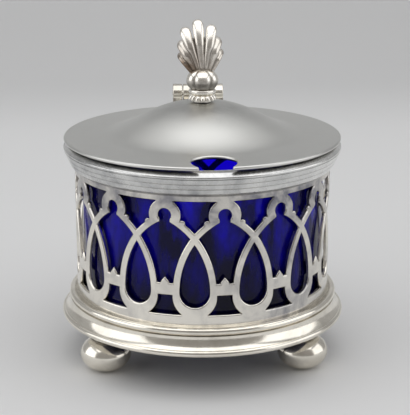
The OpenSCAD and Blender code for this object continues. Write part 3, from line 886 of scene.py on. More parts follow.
@dataclass
class PiercedGallery:
    """Sheet drum pierced all round with urns, teardrops, triangles and trapezoids."""

    finish: bpy.types.Material
    drum_r: float = field(default_factory=lambda: corner_high("pierced_gallery").x)
    foot_z: float = field(default_factory=lambda: corner_low("pierced_gallery").z)
    top_z: float = field(default_factory=lambda: corner_high("pierced_gallery").z)
    wall: float = 0.8
    pattern_z: float = 17.6
    pattern_h: float = 23.9
    repeats: int = 14
    turn_deg: float = 7.7
    bevel: float = 0.34
    strip_w: float = 1.45
    head_r: float = 1.35
    head_ring_w: float = 2.05
    head_drop: float = 2.9
    neck_half_w: float = 1.05
    shoulder_r: float = 14
    shoulder_x: float = 5.4
    shoulder_v: float = 7.1
    urn_foot_v: float = 6.7
    cusp_h: float = 1.4
    cusp_side_h: float = 0.3
    cusp_half_w: float = 0.9
    tear_r: float = 3.1
    tear_side_r: float = 18.3
    tear_v: float = 4.7
    trapezoid_h: float = 4.1
    trapezoid_drop: float = 0.9
    trapezoid_gap: float = 0.1
    ear_r: float = 0.65
    ear_x: float = 2.55
    ear_v: float = 19.4
    # Spacing of the free points on the metal, and how far they stay from an edge
    grid: float = 0.8
    grid_clear: float = 0.35
    # Painted shade under the rim band, from a height up, and a darker patch to the right of the front
    rim_shade: float = 0.6
    rim_shade_z: float = 34
    rim_shade_h: float = 5
    dark_patch: float = 0.55
    patch_x: float = 14
    patch_w: float = 9

    def __post_init__(self) -> None:
        """Works out the pattern's pitch and the places that outlines share."""
        self.half = math.pi * self.drum_r / self.repeats
        self.head_v = self.pattern_h - self.head_drop
        self.side_x = self.tear_side_r - self.tear_r

    def urn(self) -> list[Point]:
        """Draws the urn about its own axis.

        Returns:
            The opening's closed outline.
        """
        head, side = (0.0, self.head_v), (self.half + self.side_x, self.tear_v)
        shoulder = (-self.shoulder_x, self.shoulder_v)
        side_r = self.tear_side_r + self.strip_w
        corner = meet(shoulder, self.shoulder_r, side, side_r, (5, 13))
        neck_x = self.neck_half_w
        neck_rise = math.sqrt(self.shoulder_r ** 2 - (neck_x + self.shoulder_x) ** 2)
        neck = (neck_x, shoulder[1] + neck_rise)
        foot_v = self.urn_foot_v
        foot = (side[0] - math.sqrt(side_r ** 2 - (foot_v - side[1]) ** 2), foot_v)
        half = arc(head, self.head_r, 90, -math.degrees(math.acos(neck_x / self.head_r)))
        half += sweep(shoulder, neck, corner) + sweep(side, corner, foot)[1:]
        cusp_x = self.cusp_half_w
        half += [(cusp_x, foot_v), (cusp_x, foot_v + self.cusp_side_h), (0.0, foot_v + self.cusp_h)]
        return mirrored(half, 0.75)

    def tear(self) -> list[Point]:
        """Draws the teardrop about its own axis.

        Returns:
            The opening's closed outline.
        """
        side, waist = (-self.side_x, self.tear_v), (self.tear_r, self.tear_v)
        tip = (0.0, self.tear_v + math.sqrt(self.tear_side_r ** 2 - self.side_x ** 2))
        half = sweep(side, tip, waist) + arc((0.0, self.tear_v), self.tear_r, 0, -90)[1:]
        return mirrored(half)

    def triangle(self) -> list[Point]:
        """Draws the hollow-sided triangle, with a small ear beside each head's ring.

        Returns:
            The opening's closed outline.
        """
        head, ring_r = (self.half, self.head_v), self.head_r + self.head_ring_w
        strip, strip_r = (self.half + self.shoulder_x, self.shoulder_v), self.shoulder_r + self.strip_w
        ear = (self.ear_x, self.ear_v)
        corner = (head[0] - math.sqrt(ring_r ** 2 - self.head_drop ** 2), self.pattern_h)
        above = meet(head, ring_r, ear, self.ear_r, (2.9, 20.3))
        below = meet(strip, strip_r, ear, self.ear_r, (2.0, 18.9))
        tip = (0.0, strip[1] + math.sqrt(strip_r ** 2 - strip[0] ** 2))
        half = [(0.0, self.pattern_h)] + sweep(head, corner, above)
        half += sweep(ear, above, below, 1, 0.15)[1:] + sweep(strip, below, tip)[1:]
        return mirrored(half)

    def trapezoid(self) -> list[Point]:
        """Draws the hollow-sided trapezoid under an urn.

        Returns:
            The opening's closed outline.
        """
        side = (self.half, self.tear_v - self.trapezoid_drop)
        side_r = self.tear_r + self.strip_w + self.trapezoid_gap
        top_in = math.sqrt(side_r ** 2 - (self.trapezoid_h - side[1]) ** 2)
        top = (side[0] - top_in, self.trapezoid_h)
        foot = (side[0] - math.sqrt(side_r ** 2 - side[1] ** 2), 0.0)
        return mirrored([(0.0, self.trapezoid_h)] + sweep(side, top, foot) + [(0.0, 0.0)])

    def seam(self) -> list[Point]:
        """Draws the line through the metal, left of an urn, on which one repeat joins the next.

        Returns:
            The line's points, from the foot up.
        """
        tear, ring_r = (-self.half, self.tear_v), self.tear_r + self.strip_w / 2
        strip, strip_r = (-self.half - self.side_x, self.tear_v), self.tear_side_r + self.strip_w / 2
        shoulder, shoulder_r = (self.shoulder_x, self.shoulder_v), self.shoulder_r + self.strip_w / 2
        head, head_r = (0.0, self.head_v), self.head_r + self.head_ring_w / 2
        crossing = meet(strip, strip_r, shoulder, shoulder_r, (-self.half, 16))
        joint = meet(shoulder, shoulder_r, head, head_r, (-2, 19.8))
        low = arc(tear, ring_r, -75, 0)
        start, end = (strip[0] + strip_r, self.tear_v), arc(head, head_r, 120, 121)[0]
        line = [(low[0][0], self.foot_z - self.pattern_z)] + low + sweep(strip, start, crossing)[1:]
        line += sweep(shoulder, crossing, joint)[1:] + sweep(head, joint, end)[1:]
        return filled(line + [(end[0], self.top_z - self.pattern_z)], 0.5)

    def free_spots(self, rim: list[Point], fronts: list[list[Point]]) -> list[Point]:
        """Spreads a grid of points over the metal of one repeat.

        Args:
            rim: the repeat's own outline.
            fronts: the openings' front edges.

        Returns:
            The points that lie clear of every edge.
        """
        pitch, foot_v = 2 * self.half, self.foot_z - self.pattern_z
        lines = np.array([p for line in [rim, *fronts] for p in line])
        spots = []
        for i in range(int(2 * pitch / self.grid)):
            for k in range(int((self.top_z - self.foot_z) / self.grid)):
                spot = (-pitch + i * self.grid, foot_v + self.grid / 2 + k * self.grid)
                if np.min(np.hypot(lines[:, 0] - spot[0], lines[:, 1] - spot[1])) > self.grid_clear:
                    spots.append(spot)
        spots = np.array(spots)
        free = inside(spots, rim)
        for line in fronts:
            free &= ~inside(spots, line)
        return [tuple(p) for p in spots[free]]

    def cell(self) -> bpy.types.Mesh:
        """Makes one flat repeat: X round the drum, Y into the wall, Z up.

        Returns:
            The repeat, open where the next one joins it.
        """
        pitch = 2 * self.half
        left = self.seam()
        right = [(x + pitch, v) for x, v in reversed(left)]
        rim = filled(left + right, 0.6, closed=True)
        holes = [self.urn(), self.trapezoid()]
        holes += [[(x + self.half, v) for x, v in line] for line in (self.tear(), self.triangle())]
        fronts = [grown(line, self.bevel) for line in holes]
        sheet = FlatSheet(rim, fronts, self.free_spots(rim, fronts))
        triangles = sheet.triangles()
        skin = Skin()
        front = [(x, 0.0, v) for x, v in sheet.points()]
        backs = [p for line in [rim, *holes] for p in line] + sheet.spots
        back = [(x, self.wall, v) for x, v in backs]
        skin.add(front, triangles)
        skin.add(back, [t[::-1] for t in triangles])
        for line, edge in zip(holes, fronts):
            # A rounded front edge, then the straight cut through the wall
            rows = [[(x, 0.0, v) for x, v in edge]]
            for a in (22.5, 45.0, 67.5):
                drop, rest = 1 - math.cos(math.radians(a)), 1 - math.sin(math.radians(a))
                rows.append([(x, self.bevel * drop, v) for x, v in grown(line, self.bevel * rest)])
            rows += [[(x, depth, v) for x, v in line] for depth in (self.bevel, self.wall / 2, self.wall)]
            skin.rows(rows)
        for level in (left[0][1], left[-1][1]):
            run = sorted(p for p in rim if abs(p[1] - level) < 1e-6)
            skin.rows([[(x, depth, v) for x, v in run] for depth in (0.0, self.wall)], ring=False)
        return skin.moved(Matrix.Translation((0, 0, self.pattern_z))).loose_mesh("gallery_cell")

    def wrapping(self) -> bpy.types.NodeTree:
        """Builds the tree that repeats a flat cell and wraps it round the drum.

        Returns:
            The tree, with inputs for the count, the drum's radius, its turn and the finish.
        """
        tree = repeater("wrap_cells_round_drum", {
            "Repeats": "NodeSocketInt", "Drum radius": "NodeSocketFloat", "Turn": "NodeSocketFloat"})
        given = put(tree, "NodeGroupInput").outputs
        girth = put(tree, "ShaderNodeMath", {0: given["Drum radius"], 1: math.tau}, operation="MULTIPLY")
        pitch = put(tree, "ShaderNodeMath", {0: girth.outputs[0], 1: given["Repeats"]}, operation="DIVIDE")
        step = put(tree, "ShaderNodeCombineXYZ", {"X": pitch.outputs[0]})
        line = put(tree, "GeometryNodeMeshLine", {"Count": given["Repeats"], "Offset": step.outputs[0]})
        cells = put(tree, "GeometryNodeInstanceOnPoints", {"Points": line.outputs[0],
                                                           "Instance": given["Geometry"]})
        real = put(tree, "GeometryNodeRealizeInstances", {"Geometry": cells.outputs[0]})
        flat = put(tree, "ShaderNodeSeparateXYZ", {0: put(tree, "GeometryNodeInputPosition").outputs[0]})
        share = put(tree, "ShaderNodeMath", {0: flat.outputs["X"], 1: given["Drum radius"]},
                    operation="DIVIDE")
        angle = put(tree, "ShaderNodeMath", {0: share.outputs[0], 1: given["Turn"]}, operation="ADD")
        reach = put(tree, "ShaderNodeMath", {0: given["Drum radius"], 1: flat.outputs["Y"]},
                    operation="SUBTRACT")
        sine = put(tree, "ShaderNodeMath", {0: angle.outputs[0]}, operation="SINE")
        cosine = put(tree, "ShaderNodeMath", {0: angle.outputs[0]}, operation="COSINE")
        across = put(tree, "ShaderNodeMath", {0: reach.outputs[0], 1: sine.outputs[0]},
                     operation="MULTIPLY")
        forward = put(tree, "ShaderNodeMath", {0: reach.outputs[0], 1: cosine.outputs[0]},
                      operation="MULTIPLY")
        behind = put(tree, "ShaderNodeMath", {0: forward.outputs[0], 1: -1.0}, operation="MULTIPLY")
        place = put(tree, "ShaderNodeCombineXYZ", {"X": across.outputs[0], "Y": behind.outputs[0],
                                                   "Z": flat.outputs["Z"]})
        bent = put(tree, "GeometryNodeSetPosition", {"Geometry": real.outputs[0],
                                                     "Position": place.outputs[0]})
        joined = put(tree, "GeometryNodeMergeByDistance", {"Geometry": bent.outputs[0],
                                                           "Distance": 0.02 * MM})
        plain = put(tree, "GeometryNodeRealizeInstances", {"Geometry": joined.outputs[0]})
        dressed = put(tree, "GeometryNodeSetMaterial", {"Geometry": plain.outputs[0],
                                                        "Material": given["Finish"]})
        put(tree, "NodeGroupOutput", {"Geometry": dressed.outputs[0]})
        return tree

    def build(self) -> None:
        """Makes the drum and puts it in the scene."""
        mesh = run_tree(self.cell(), self.wrapping(), {
            "Repeats": self.repeats, "Drum radius": self.drum_r * MM,
            "Turn": math.radians(self.turn_deg), "Finish": self.finish})
        closed(mesh)
        smoothed(mesh, 30)
        mark_crevices(mesh, 0.2, 0)
        # Painted shade under the rim band, and a darker patch right of the front
        stain(mesh, "haze_and_shade", lambda place, _:
              self.rim_shade * np.clip((place[:, 2] - self.rim_shade_z) / self.rim_shade_h, 0, 1)
              + self.dark_patch * np.exp(-((place[:, 0] - self.patch_x) / self.patch_w) ** 2))
        show("gallery_pierced_drum", mesh, self.finish, Body.POT, ["pierced_gallery"])


@dataclass
class RimBand:
    """Reeded band that flares up to a bead round the drum's top edge."""

    finish: bpy.types.Material
    out_r: float = field(default_factory=lambda: corner_high("top_rim_band").x + 0.4)
    foot_z: float = field(default_factory=lambda: corner_low("top_rim_band").z + 0.25)
    top_z: float = field(default_factory=lambda: corner_high("top_rim_band").z)
    drum_r: float = field(default_factory=lambda: corner_high("pierced_gallery").x)
    lip_r: float = 26.5
    lip_h: float = 0.8
    bead_r: float = 0.4
    shoulder_h: float = 0.55
    shoulder_deg: float = 40
    solder_h: float = 0.65
    reeds: int = 3
    groove_r: float = 0.05
    taper: float = 1.5
    crown: float = 0.03
    # Painted shade on the left, which fades out over a width that ends on the lighter right
    haze_and_shade: float = 0.55
    shade_end_x: float = 20
    shade_w: float = 16

    def section(self) -> list[Point]:
        """Draws the band's section, from its lower outer edge up.

        Returns:
            The closed section.
        """
        bead = (self.out_r - self.bead_r, self.top_z - self.shoulder_h - self.bead_r)
        reeds_top = bead[1] - self.bead_r
        reed_h = (reeds_top - self.foot_z) / self.reeds
        line: list[Point] = []
        for i in range(self.reeds):
            low_z = self.foot_z + i * reed_h
            for k in range(13):
                t = k / 12
                face = self.out_r - self.groove_r - self.taper * (1 - (i + t) / self.reeds)
                # Each reed swells a little and dips into the groove on either side
                swell = self.crown * (1 - (2 * t - 1) ** 2) - self.groove_r * abs(2 * t - 1) ** 8
                line.append((face + swell, low_z + reed_h * t))
        line += arc(bead, self.bead_r, -60, 90 - self.shoulder_deg, 0.08)
        # A sloping shoulder leads up from the bead to the flat ring under the lid
        lean = math.radians(self.shoulder_deg)
        rise = self.top_z - line[-1][1]
        edge = (line[-1][0] - rise / math.tan(lean), self.top_z)
        line += [(edge[0] + 0.1 * math.cos(lean), edge[1] - 0.1 * math.sin(lean)),
                 (edge[0] - 0.1, self.top_z), (self.lip_r + 0.4, self.top_z)]
        line += filleted([(self.lip_r, self.top_z, 0.2), (self.lip_r, self.top_z - self.lip_h, 0.1),
                          (self.drum_r, self.top_z - self.lip_h, 0)])
        # The solder line fills the corner between the band and the drum
        line += [(self.drum_r - 0.05, self.foot_z - self.solder_h),
                 (line[0][0] - 0.06, self.foot_z - 0.04)]
        return line

    def build(self) -> None:
        """Makes the band."""
        mesh = Skin().turned(self.section(), 256).mesh("rim_band", 40, 0.3)
        # Painted shade over the band's left, so that its right end is lighter
        stain(mesh, "haze_and_shade", lambda place, _:
              self.haze_and_shade * np.clip((self.shade_end_x - place[:, 0]) / self.shade_w, 0, 1))
        # The solder below the band is dark, and stands as a painted shadow line under the band
        stain(mesh, "groove_and_shade", lambda place, _: np.clip((self.foot_z - 0.01 - place[:, 2]) / 0.02, 0, 1))
        show("band_reeded_rim", mesh, self.finish, Body.POT, ["top_rim_band"])


@dataclass
class BaseMoulding:
    """Spreading foot: a bead under the drum, a hollow that runs out from it and a round lip."""

    finish: bpy.types.Material
    seat_finish: bpy.types.Material
    out_r: float = field(default_factory=lambda: corner_high("base_moulding").x + 0.6)
    foot_z: float = field(default_factory=lambda: corner_low("base_moulding").z + BASE_LIFT)
    drum_r: float = field(default_factory=lambda: corner_high("pierced_gallery").x)
    seat_top_z: float = field(default_factory=lambda: corner_high("liner_seat_ring").z)
    lip_r: float = 0.7
    hollow_r: float = 3.4
    hollow_z: float = 4.0
    hollow_in: float = 1.8
    bead_r: float = 0.8
    bead_out: float = 0.95
    seat_w: float = 10.6
    seat_drop: float = 0.25

    def section(self) -> list[Point]:
        """Draws the moulding's section, from its foot up.

        Returns:
            The closed section.
        """
        lip = (self.out_r - self.lip_r, self.foot_z + self.lip_r + 0.05)
        hollow = (self.out_r - self.hollow_in + self.hollow_r, self.foot_z + self.hollow_z)
        bead = (self.drum_r + self.bead_out, hollow[1] + self.bead_r + 0.05)
        line = [(self.drum_r, self.foot_z), (lip[0] - 0.3, self.foot_z)]
        line += arc(lip, self.lip_r, -105, 88, 0.08)
        line += arc(hollow, self.hollow_r, 233, 180, 0.1)
        line += arc(bead, self.bead_r, -70, 120, 0.06)
        return line + [(self.drum_r, bead[1] + 0.5)]

    def build(self) -> None:
        """Makes the moulding and the seat ring."""
        mesh = Skin().turned(self.section(), 256).mesh("base", 40, 0.3)
        show("base_hollow_moulding", mesh, self.finish, Body.POT, ["base_moulding"])
        # The seat ring wears the dark underside finish, painted shade under the pot
        inner_r, low_z = self.drum_r - self.seat_w, self.foot_z - self.seat_drop
        ring = filleted([(inner_r, low_z, 0.2), (self.drum_r, low_z, 0),
                         (self.drum_r, self.seat_top_z, 0), (inner_r, self.seat_top_z, 0.2)])
        mesh = Skin().turned(ring, 160).mesh("seat", 40, 0.3)
        show("base_seat_ring", mesh, self.seat_finish, Body.POT, ["liner_seat_ring"])


@dataclass
class GlassLiner:
    """Cobalt glass beaker that stands inside the drum."""

    finish: bpy.types.Material
    out_r: float = field(default_factory=lambda: corner_high("glass_liner").x)
    foot_z: float = field(default_factory=lambda: corner_low("glass_liner").z)
    top_z: float = field(default_factory=lambda: corner_high("glass_liner").z)
    wall: float = 2.0
    floor: float = 2.6
    corner_r: float = 3.0

    def build(self) -> None:
        """Makes the beaker as one closed wall of glass."""
        in_r, in_z = self.out_r - self.wall, self.foot_z + self.floor
        corner_r, lip_r = self.corner_r, self.wall / 2
        step = 2.0
        section = filled([(0.0, self.foot_z), (self.out_r - corner_r, self.foot_z)], step)
        section += arc((self.out_r - corner_r, self.foot_z + corner_r), corner_r, -90, 0)[1:]
        section += arc((self.out_r - lip_r, self.top_z - lip_r), lip_r, 0, 180, 0.2)
        section += arc((in_r - corner_r, in_z + corner_r), corner_r, 0, -90)
        section += filled([(in_r - corner_r, in_z), (0.0, in_z)], step)[1:]
        mesh = Skin().turned(filled(section, step), 200, loop=False).mesh("liner", 60, 0.3)
        show("liner_cobalt_glass", mesh, self.finish, Body.POT, ["glass_liner"])


@dataclass
class BunFeet:
    """Three bun feet, each on a short neck under the base."""

    finish: bpy.types.Material
    bun_r: float = 5.45
    bun_half_h: float = 4.0
    wear: float = 0.15
    neck_r: float = 3.0
    neck_in: float = 0.1
    flare: float = 0.9
    flare_h: float = 0.9
    base_z: float = field(default_factory=lambda: corner_low("base_moulding").z + BASE_LIFT)
    circle_r: float = 24.5
    first_deg: float = -60
    # The necks are darkened from this height up: dirt out of the polishing cloth's reach, with painted shade
    # under the base
    dirt_and_shade: float = 0.9
    dirt_and_shade_z: float = 7.0

    def foot(self) -> bpy.types.Mesh:
        """Makes the front foot with its neck.

        Returns:
            The foot, in its place before the first turn.
        """
        middle_z = self.bun_half_h - self.wear
        low = math.degrees(math.asin(-middle_z / self.bun_half_h))
        high = math.degrees(math.acos(self.neck_r / self.bun_r))
        line = [(0.0, 0.0)]
        for k in range(61):
            a = math.radians(low + (high - low) * k / 60)
            line.append((self.bun_r * math.cos(a), middle_z + self.bun_half_h * math.sin(a)))
        neck_z, neck_x = line[-1][1], self.neck_r - self.neck_in
        line += [(neck_x, neck_z + 0.15), (neck_x, neck_z + 0.6)]
        line += [(self.neck_r + 0.25 * self.flare, self.base_z - self.flare_h),
                 (self.neck_r + self.flare, self.base_z), (0.0, self.base_z)]
        skin = Skin().turned(line, 96, loop=False).moved(Matrix.Translation((0, -self.circle_r, 0)))
        return skin.mesh("foot", 30, 0.5)

    def build(self) -> None:
        """Makes the three feet as one piece."""
        spots = ("front_left", "front_right", "rear")
        mesh = run_tree(self.foot(), ring_tree(), {
            "Count": len(spots), "Start angle": math.radians(self.first_deg), "Finish": self.finish})
        smoothed(mesh, 30)
        # Dirt and painted shade on the necks under the base
        stain(mesh, "groove_and_shade", lambda place, _:
              self.dirt_and_shade * np.clip((place[:, 2] - self.dirt_and_shade_z) / 0.4, 0, 1))
        nodes = [kind + spot for kind in ("foot_", "foot_pad_") for spot in spots]
        show("feet_bun", mesh, self.finish, Body.POT, nodes)


@dataclass
class Hinge:
    """Five knuckles on a pin, with a leaf on the rim band and a strap on the lid."""

    finish: bpy.types.Material
    pin_low: Vector = field(default_factory=lambda: corner_low("hinge_pin"))
    pin_high: Vector = field(default_factory=lambda: corner_high("hinge_pin"))
    knuckles: int = 5
    knuckle_r: float = 2.2
    knuckle_edge: float = 0.22
    bore_edge: float = 0.05
    pin_r: float = 0.6
    pin_edge_r: float = 0.2
    pin_edge_h: float = 0.15
    clearance: float = 0.05
    gap: float = 0.15
    leaf_bevel: float = 0.18

    def __post_init__(self) -> None:
        """Works out the pin's length and its place, turned on its side."""
        self.length = self.pin_high.x - self.pin_low.x
        self.axis = (self.pin_low + self.pin_high) / 2
        self.lying = Matrix.Rotation(math.pi / 2, 4, "Y")

    def barrel(self, numbers: Sequence[int], bore_r: float) -> Skin:
        """Turns some of the knuckles.

        Args:
            numbers: which ones, counted from -2 to 2.
            bore_r: the radius of the hole through them.

        Returns:
            Their skin, in place.
        """
        pitch = self.length / self.knuckles
        half, out_r = (pitch - self.gap) / 2, self.knuckle_r
        section = filleted([(bore_r, -half, self.bore_edge), (out_r, -half, self.knuckle_edge),
                            (out_r, half, self.knuckle_edge), (bore_r, half, self.bore_edge)], 0.06)
        skin = Skin()
        for i in numbers:
            ring = Skin().turned(section, 64)
            ring.moved(Matrix.Translation((i * pitch, self.axis.y, self.axis.z)) @ self.lying)
            skin.add(ring.points, ring.faces)
        return skin

    def build(self) -> None:
        """Makes the leaf, the strap, the knuckles and the pin."""
        show("hinge_leaf_on_band", cad_copy("hinge_body_leaf", self.leaf_bevel), self.finish, Body.POT,
             ["hinge_body_leaf"])
        show("hinge_strap_on_lid", cad_copy("hinge_lid_leaf", self.leaf_bevel), self.finish, Body.LID,
             ["hinge_lid_leaf"])
        pot_knuckles = self.barrel((-2, 0, 2), self.pin_r).mesh("pot_knuckles")
        show("hinge_pot_knuckles", pot_knuckles, self.finish, Body.POT,
             ["hinge_body_knuckle_" + side for side in ("left", "middle", "right")])
        lid_knuckles = self.barrel((-1, 1), self.pin_r + self.clearance).mesh("lid_knuckles")
        show("hinge_lid_knuckles", lid_knuckles, self.finish, Body.LID,
             ["hinge_lid_knuckle_left", "hinge_lid_knuckle_right"])
        half, end_r, end_h = self.length / 2, self.pin_r - self.pin_edge_r, self.pin_edge_h
        section = [(0.0, -half), (end_r, -half), (self.pin_r, -half + end_h), (self.pin_r, half - end_h),
                   (end_r, half), (0.0, half)]
        pin = Skin().turned(section, 48, loop=False)
        pin.moved(Matrix.Translation(self.axis) @ self.lying)
        show("hinge_wire_pin", pin.mesh("pin"), self.finish, Body.POT, ["hinge_pin"])


@dataclass
class LoopHandle:
    """Loop handle of oval section between two solder plates at the back."""

    finish: bpy.types.Material
    start_y: float = field(default_factory=lambda: corner_high("handle_upper_plate").y)
    top_z: float = 45.5
    out_y: float = 48.95
    reach: float = 17.2
    middle_z: float = 32.25
    end_y: float = field(default_factory=lambda: corner_low("handle").y)
    roll_z: float = 11.0
    # How far each half's ends pull its curve along, as shares of the reach or in millimetres
    upper_pull: float = 0.45
    upper_drop: float = 1.5
    lower_drop: float = 10
    lower_pull: float = 0.6
    width: float = 5.0
    thick: float = 3.6
    end_share: float = 0.7
    sides: int = 40
    plate_bevel: float = 0.15

    def spine(self, steps: int = 48) -> list[Vector]:
        """Draws the handle's middle line as two curves, top to bottom.

        Args:
            steps: how many steps each of the two curves has.

        Returns:
            The line's points.
        """
        upper = [(self.start_y, self.top_z), (self.start_y + self.reach * self.upper_pull, self.top_z),
                 (self.out_y, self.top_z - self.upper_drop), (self.out_y, self.middle_z)]
        lower = [(self.out_y, self.middle_z), (self.out_y, self.middle_z - self.lower_drop),
                 (self.end_y + self.reach * self.lower_pull, self.roll_z), (self.end_y, self.roll_z)]
        line = []
        for part in (upper, lower):
            for k in range(steps + 1):
                t = k / steps
                share = [(1 - t) ** 3, 3 * t * (1 - t) ** 2, 3 * t * t * (1 - t), t ** 3]
                y = sum(s * p[0] for s, p in zip(share, part))
                z = sum(s * p[1] for s, p in zip(share, part))
                line.append(Vector((0, y, z)))
        return line[:steps] + line[steps + 1:]

    def build(self) -> None:
        """Makes the handle and its plates."""
        line = self.spine()
        rows = []
        for k, point in enumerate(line):
            ahead = (line[min(k + 1, len(line) - 1)] - line[max(k - 1, 0)]).normalized()
            across = Vector((1, 0, 0))
            out = ahead.cross(across)
            t = k / (len(line) - 1)
            size = 1 - (1 - self.end_share) * t
            ring = []
            for j in range(self.sides):
                a = math.tau * j / self.sides
                ring.append(point + across * (self.width / 2 * size * math.cos(a))
                            + out * (self.thick / 2 * size * math.sin(a)))
            rows.append(ring)
        mesh = Skin().capped(rows).mesh("handle", 50, 0.3)
        show("handle_loop", mesh, self.finish, Body.POT, ["handle"])
        for end in ("upper", "lower"):
            plate = cad_copy(f"handle_{end}_plate", self.plate_bevel)
            show(f"handle_{end}_solder_plate", plate, self.finish, Body.POT,
                 [f"handle_{end}_plate"])


@dataclass
class BellLid:
    """Bell-shaped lid of sheet silver with a spoon notch at the front."""

    finish: bpy.types.Material
    out_r: float = field(default_factory=lambda: corner_high("lid_cover").x - 0.2)
    foot_z: float = field(default_factory=lambda: corner_low("lid_cover").z)
    sheet: float = 0.8
    slope: float = 0.04
    bell_r: float = 22.0
    bell_rise: float = 5.9
    fullness: float = 1.4
    notch_half_w: float = 4.6
    notch_depth: float = 8.2
    notch_back: float = 3.4
    notch_side_r: float = 6.6
    horn_r: float = 0.5
    notch_turn: float = 3.4
    # Spacing of the free points in and between their rings, and how far they stay from the edge
    ring_gap: float = 0.7
    spot_gap: float = 0.8
    edge_clear: float = 0.45
    # The underside is painted dark as painted shade, and round the collar the crown is painted darker, as
    # painted shade that dims its sheen
    underside_shade: float = 0.6
    crown_shade: float = 0.45
    crown_shade_r: float = 14
    crown_shade_w: float = 7

    def top(self, radius: float) -> float:
        """Works out the height of the lid's top.

        Args:
            radius: the distance from the lid's axis.

        Returns:
            The height there.
        """
        bell = 0.0
        if radius < self.bell_r:
            turn = math.pi * (radius / self.bell_r) ** self.fullness
            bell = self.bell_rise * (1 + math.cos(turn)) / 2
        return self.foot_z + self.sheet + self.slope * (self.out_r - radius) + bell

    def true_normals(self, mesh: bpy.types.Mesh) -> None:
        """Gives the bell its exact normals, so that the sheet's triangles don't show in its sheen.

        Args:
            mesh: the lid's mesh.
        """
        place, normal = spread(mesh)
        reach = np.hypot(place[:, 0], place[:, 1])
        level = np.array([self.top(r) for r in reach])
        slope = np.array([self.top(r + 0.01) - self.top(max(r - 0.01, 0)) for r in reach]) / 0.02
        flat = np.maximum(reach, 0.01)
        bell = np.stack([-slope * place[:, 0] / flat, -slope * place[:, 1] / flat,
                         np.ones(len(reach))], 1)
        bell /= np.linalg.norm(bell, axis=1)[:, None]
        for height, sign in ((level, 1), (level - self.sheet, -1)):
            on = (np.abs(place[:, 2] - height) < 0.002) & (normal[:, 2] * sign > 0.5)
            normal[on] = sign * bell[on]
        mesh.normals_split_custom_set_from_vertices(normal.tolist())

    def outline(self) -> list[Point]:
        """Draws the lid from above, with its notch at the front.

        Returns:
            The closed outline.
        """
        crown_y = self.notch_depth - self.out_r
        wide = (self.notch_half_w, crown_y - self.notch_back)
        side = (self.notch_half_w - self.notch_side_r, wide[1])
        # A small round horn on either side of the mouth joins the notch to the rim
        horn_reach = self.notch_side_r + self.horn_r
        horn = meet((0.0, 0.0), self.out_r - self.horn_r, side, horn_reach, (3.9, -29.2))
        share = self.notch_side_r / horn_reach
        on_notch = (side[0] + (horn[0] - side[0]) * share, side[1] + (horn[1] - side[1]) * share)
        rim_share = self.out_r / (self.out_r - self.horn_r)
        on_rim = (horn[0] * rim_share, horn[1] * rim_share)
        turns = [math.radians(6 * k) for k in range(15)]
        right = [(wide[0] * math.sin(a), wide[1] + self.notch_back * math.cos(a)) for a in turns]
        right += sweep(side, wide, on_notch, -1, 0.2)
        right += sweep(horn, on_notch, on_rim, 1, 0.1)[1:]
        right += arc((0.0, 0.0), self.out_r, bearing((0.0, 0.0), on_rim), 90, 0.5)[1:]
        left = [(-x, y) for x, y in reversed(right) if abs(x) > 1e-6]
        line = filled(right + left, 0.5, closed=True)
        a = math.radians(self.notch_turn)
        return [(x * math.cos(a) - y * math.sin(a), x * math.sin(a) + y * math.cos(a)) for x, y in line]

    def free_spots(self, inner: list[Point]) -> list[Point]:
        """Spreads rings of points over the lid.

        Args:
            inner: the outline of the part inside the rounded edge.

        Returns:
            The points that lie inside and clear of it.
        """
        lines = np.array(inner)
        spots = [(0.0, 0.0)]
        for k in range(1, int(self.out_r / self.ring_gap)):
            count = max(6, round(math.tau * k * self.ring_gap / self.spot_gap))
            reach = self.ring_gap * k
            turns = [math.tau * (i + k % 2 / 2) / count for i in range(count)]
            spots += [(reach * math.cos(a), reach * math.sin(a)) for a in turns]
        spots = [p for p in spots
                 if np.min(np.hypot(lines[:, 0] - p[0], lines[:, 1] - p[1])) > self.edge_clear]
        free = inside(np.array(spots), inner)
        return [p for p, keep in zip(spots, free) if keep]

    def build(self) -> None:
        """Makes the lid as a sheet with a rounded edge."""
        edge_r = self.sheet / 2
        outline = self.outline()
        inner = grown(outline, -edge_r)
        sheet = FlatSheet(inner, [], self.free_spots(inner))
        triangles = sheet.triangles()
        points = sheet.points()
        skin = Skin()
        skin.add([(x, y, self.top(math.hypot(x, y))) for x, y in points], triangles)
        skin.add([(x, y, self.top(math.hypot(x, y)) - self.sheet) for x, y in points],
                 [t[::-1] for t in triangles])
        rows = []
        for k in range(9):
            a = math.pi * k / 8
            ring = grown(outline, -edge_r * (1 - math.sin(a)))
            rows.append([(x, y, self.top(math.hypot(*base)) - edge_r + edge_r * math.cos(a))
                         for (x, y), base in zip(ring, inner)])
        skin.rows(rows)
        mesh = skin.mesh("lid", 60, 0.3)
        self.true_normals(mesh)
        # Painted shade on the underside
        stain(mesh, "groove_and_shade", lambda _, normal:
              self.underside_shade * np.clip(-normal[:, 2] * 2 - 0.8, 0, 1))
        # Painted shade round the crown, which dims the bell's sheen there
        stain(mesh, "haze_and_shade", lambda place, _: self.crown_shade * np.clip(
            (self.crown_shade_r - np.hypot(place[:, 0], place[:, 1])) / self.crown_shade_w, 0, 1))
        show("lid_bell_cover", mesh, self.finish, Body.LID, ["lid_cover"])


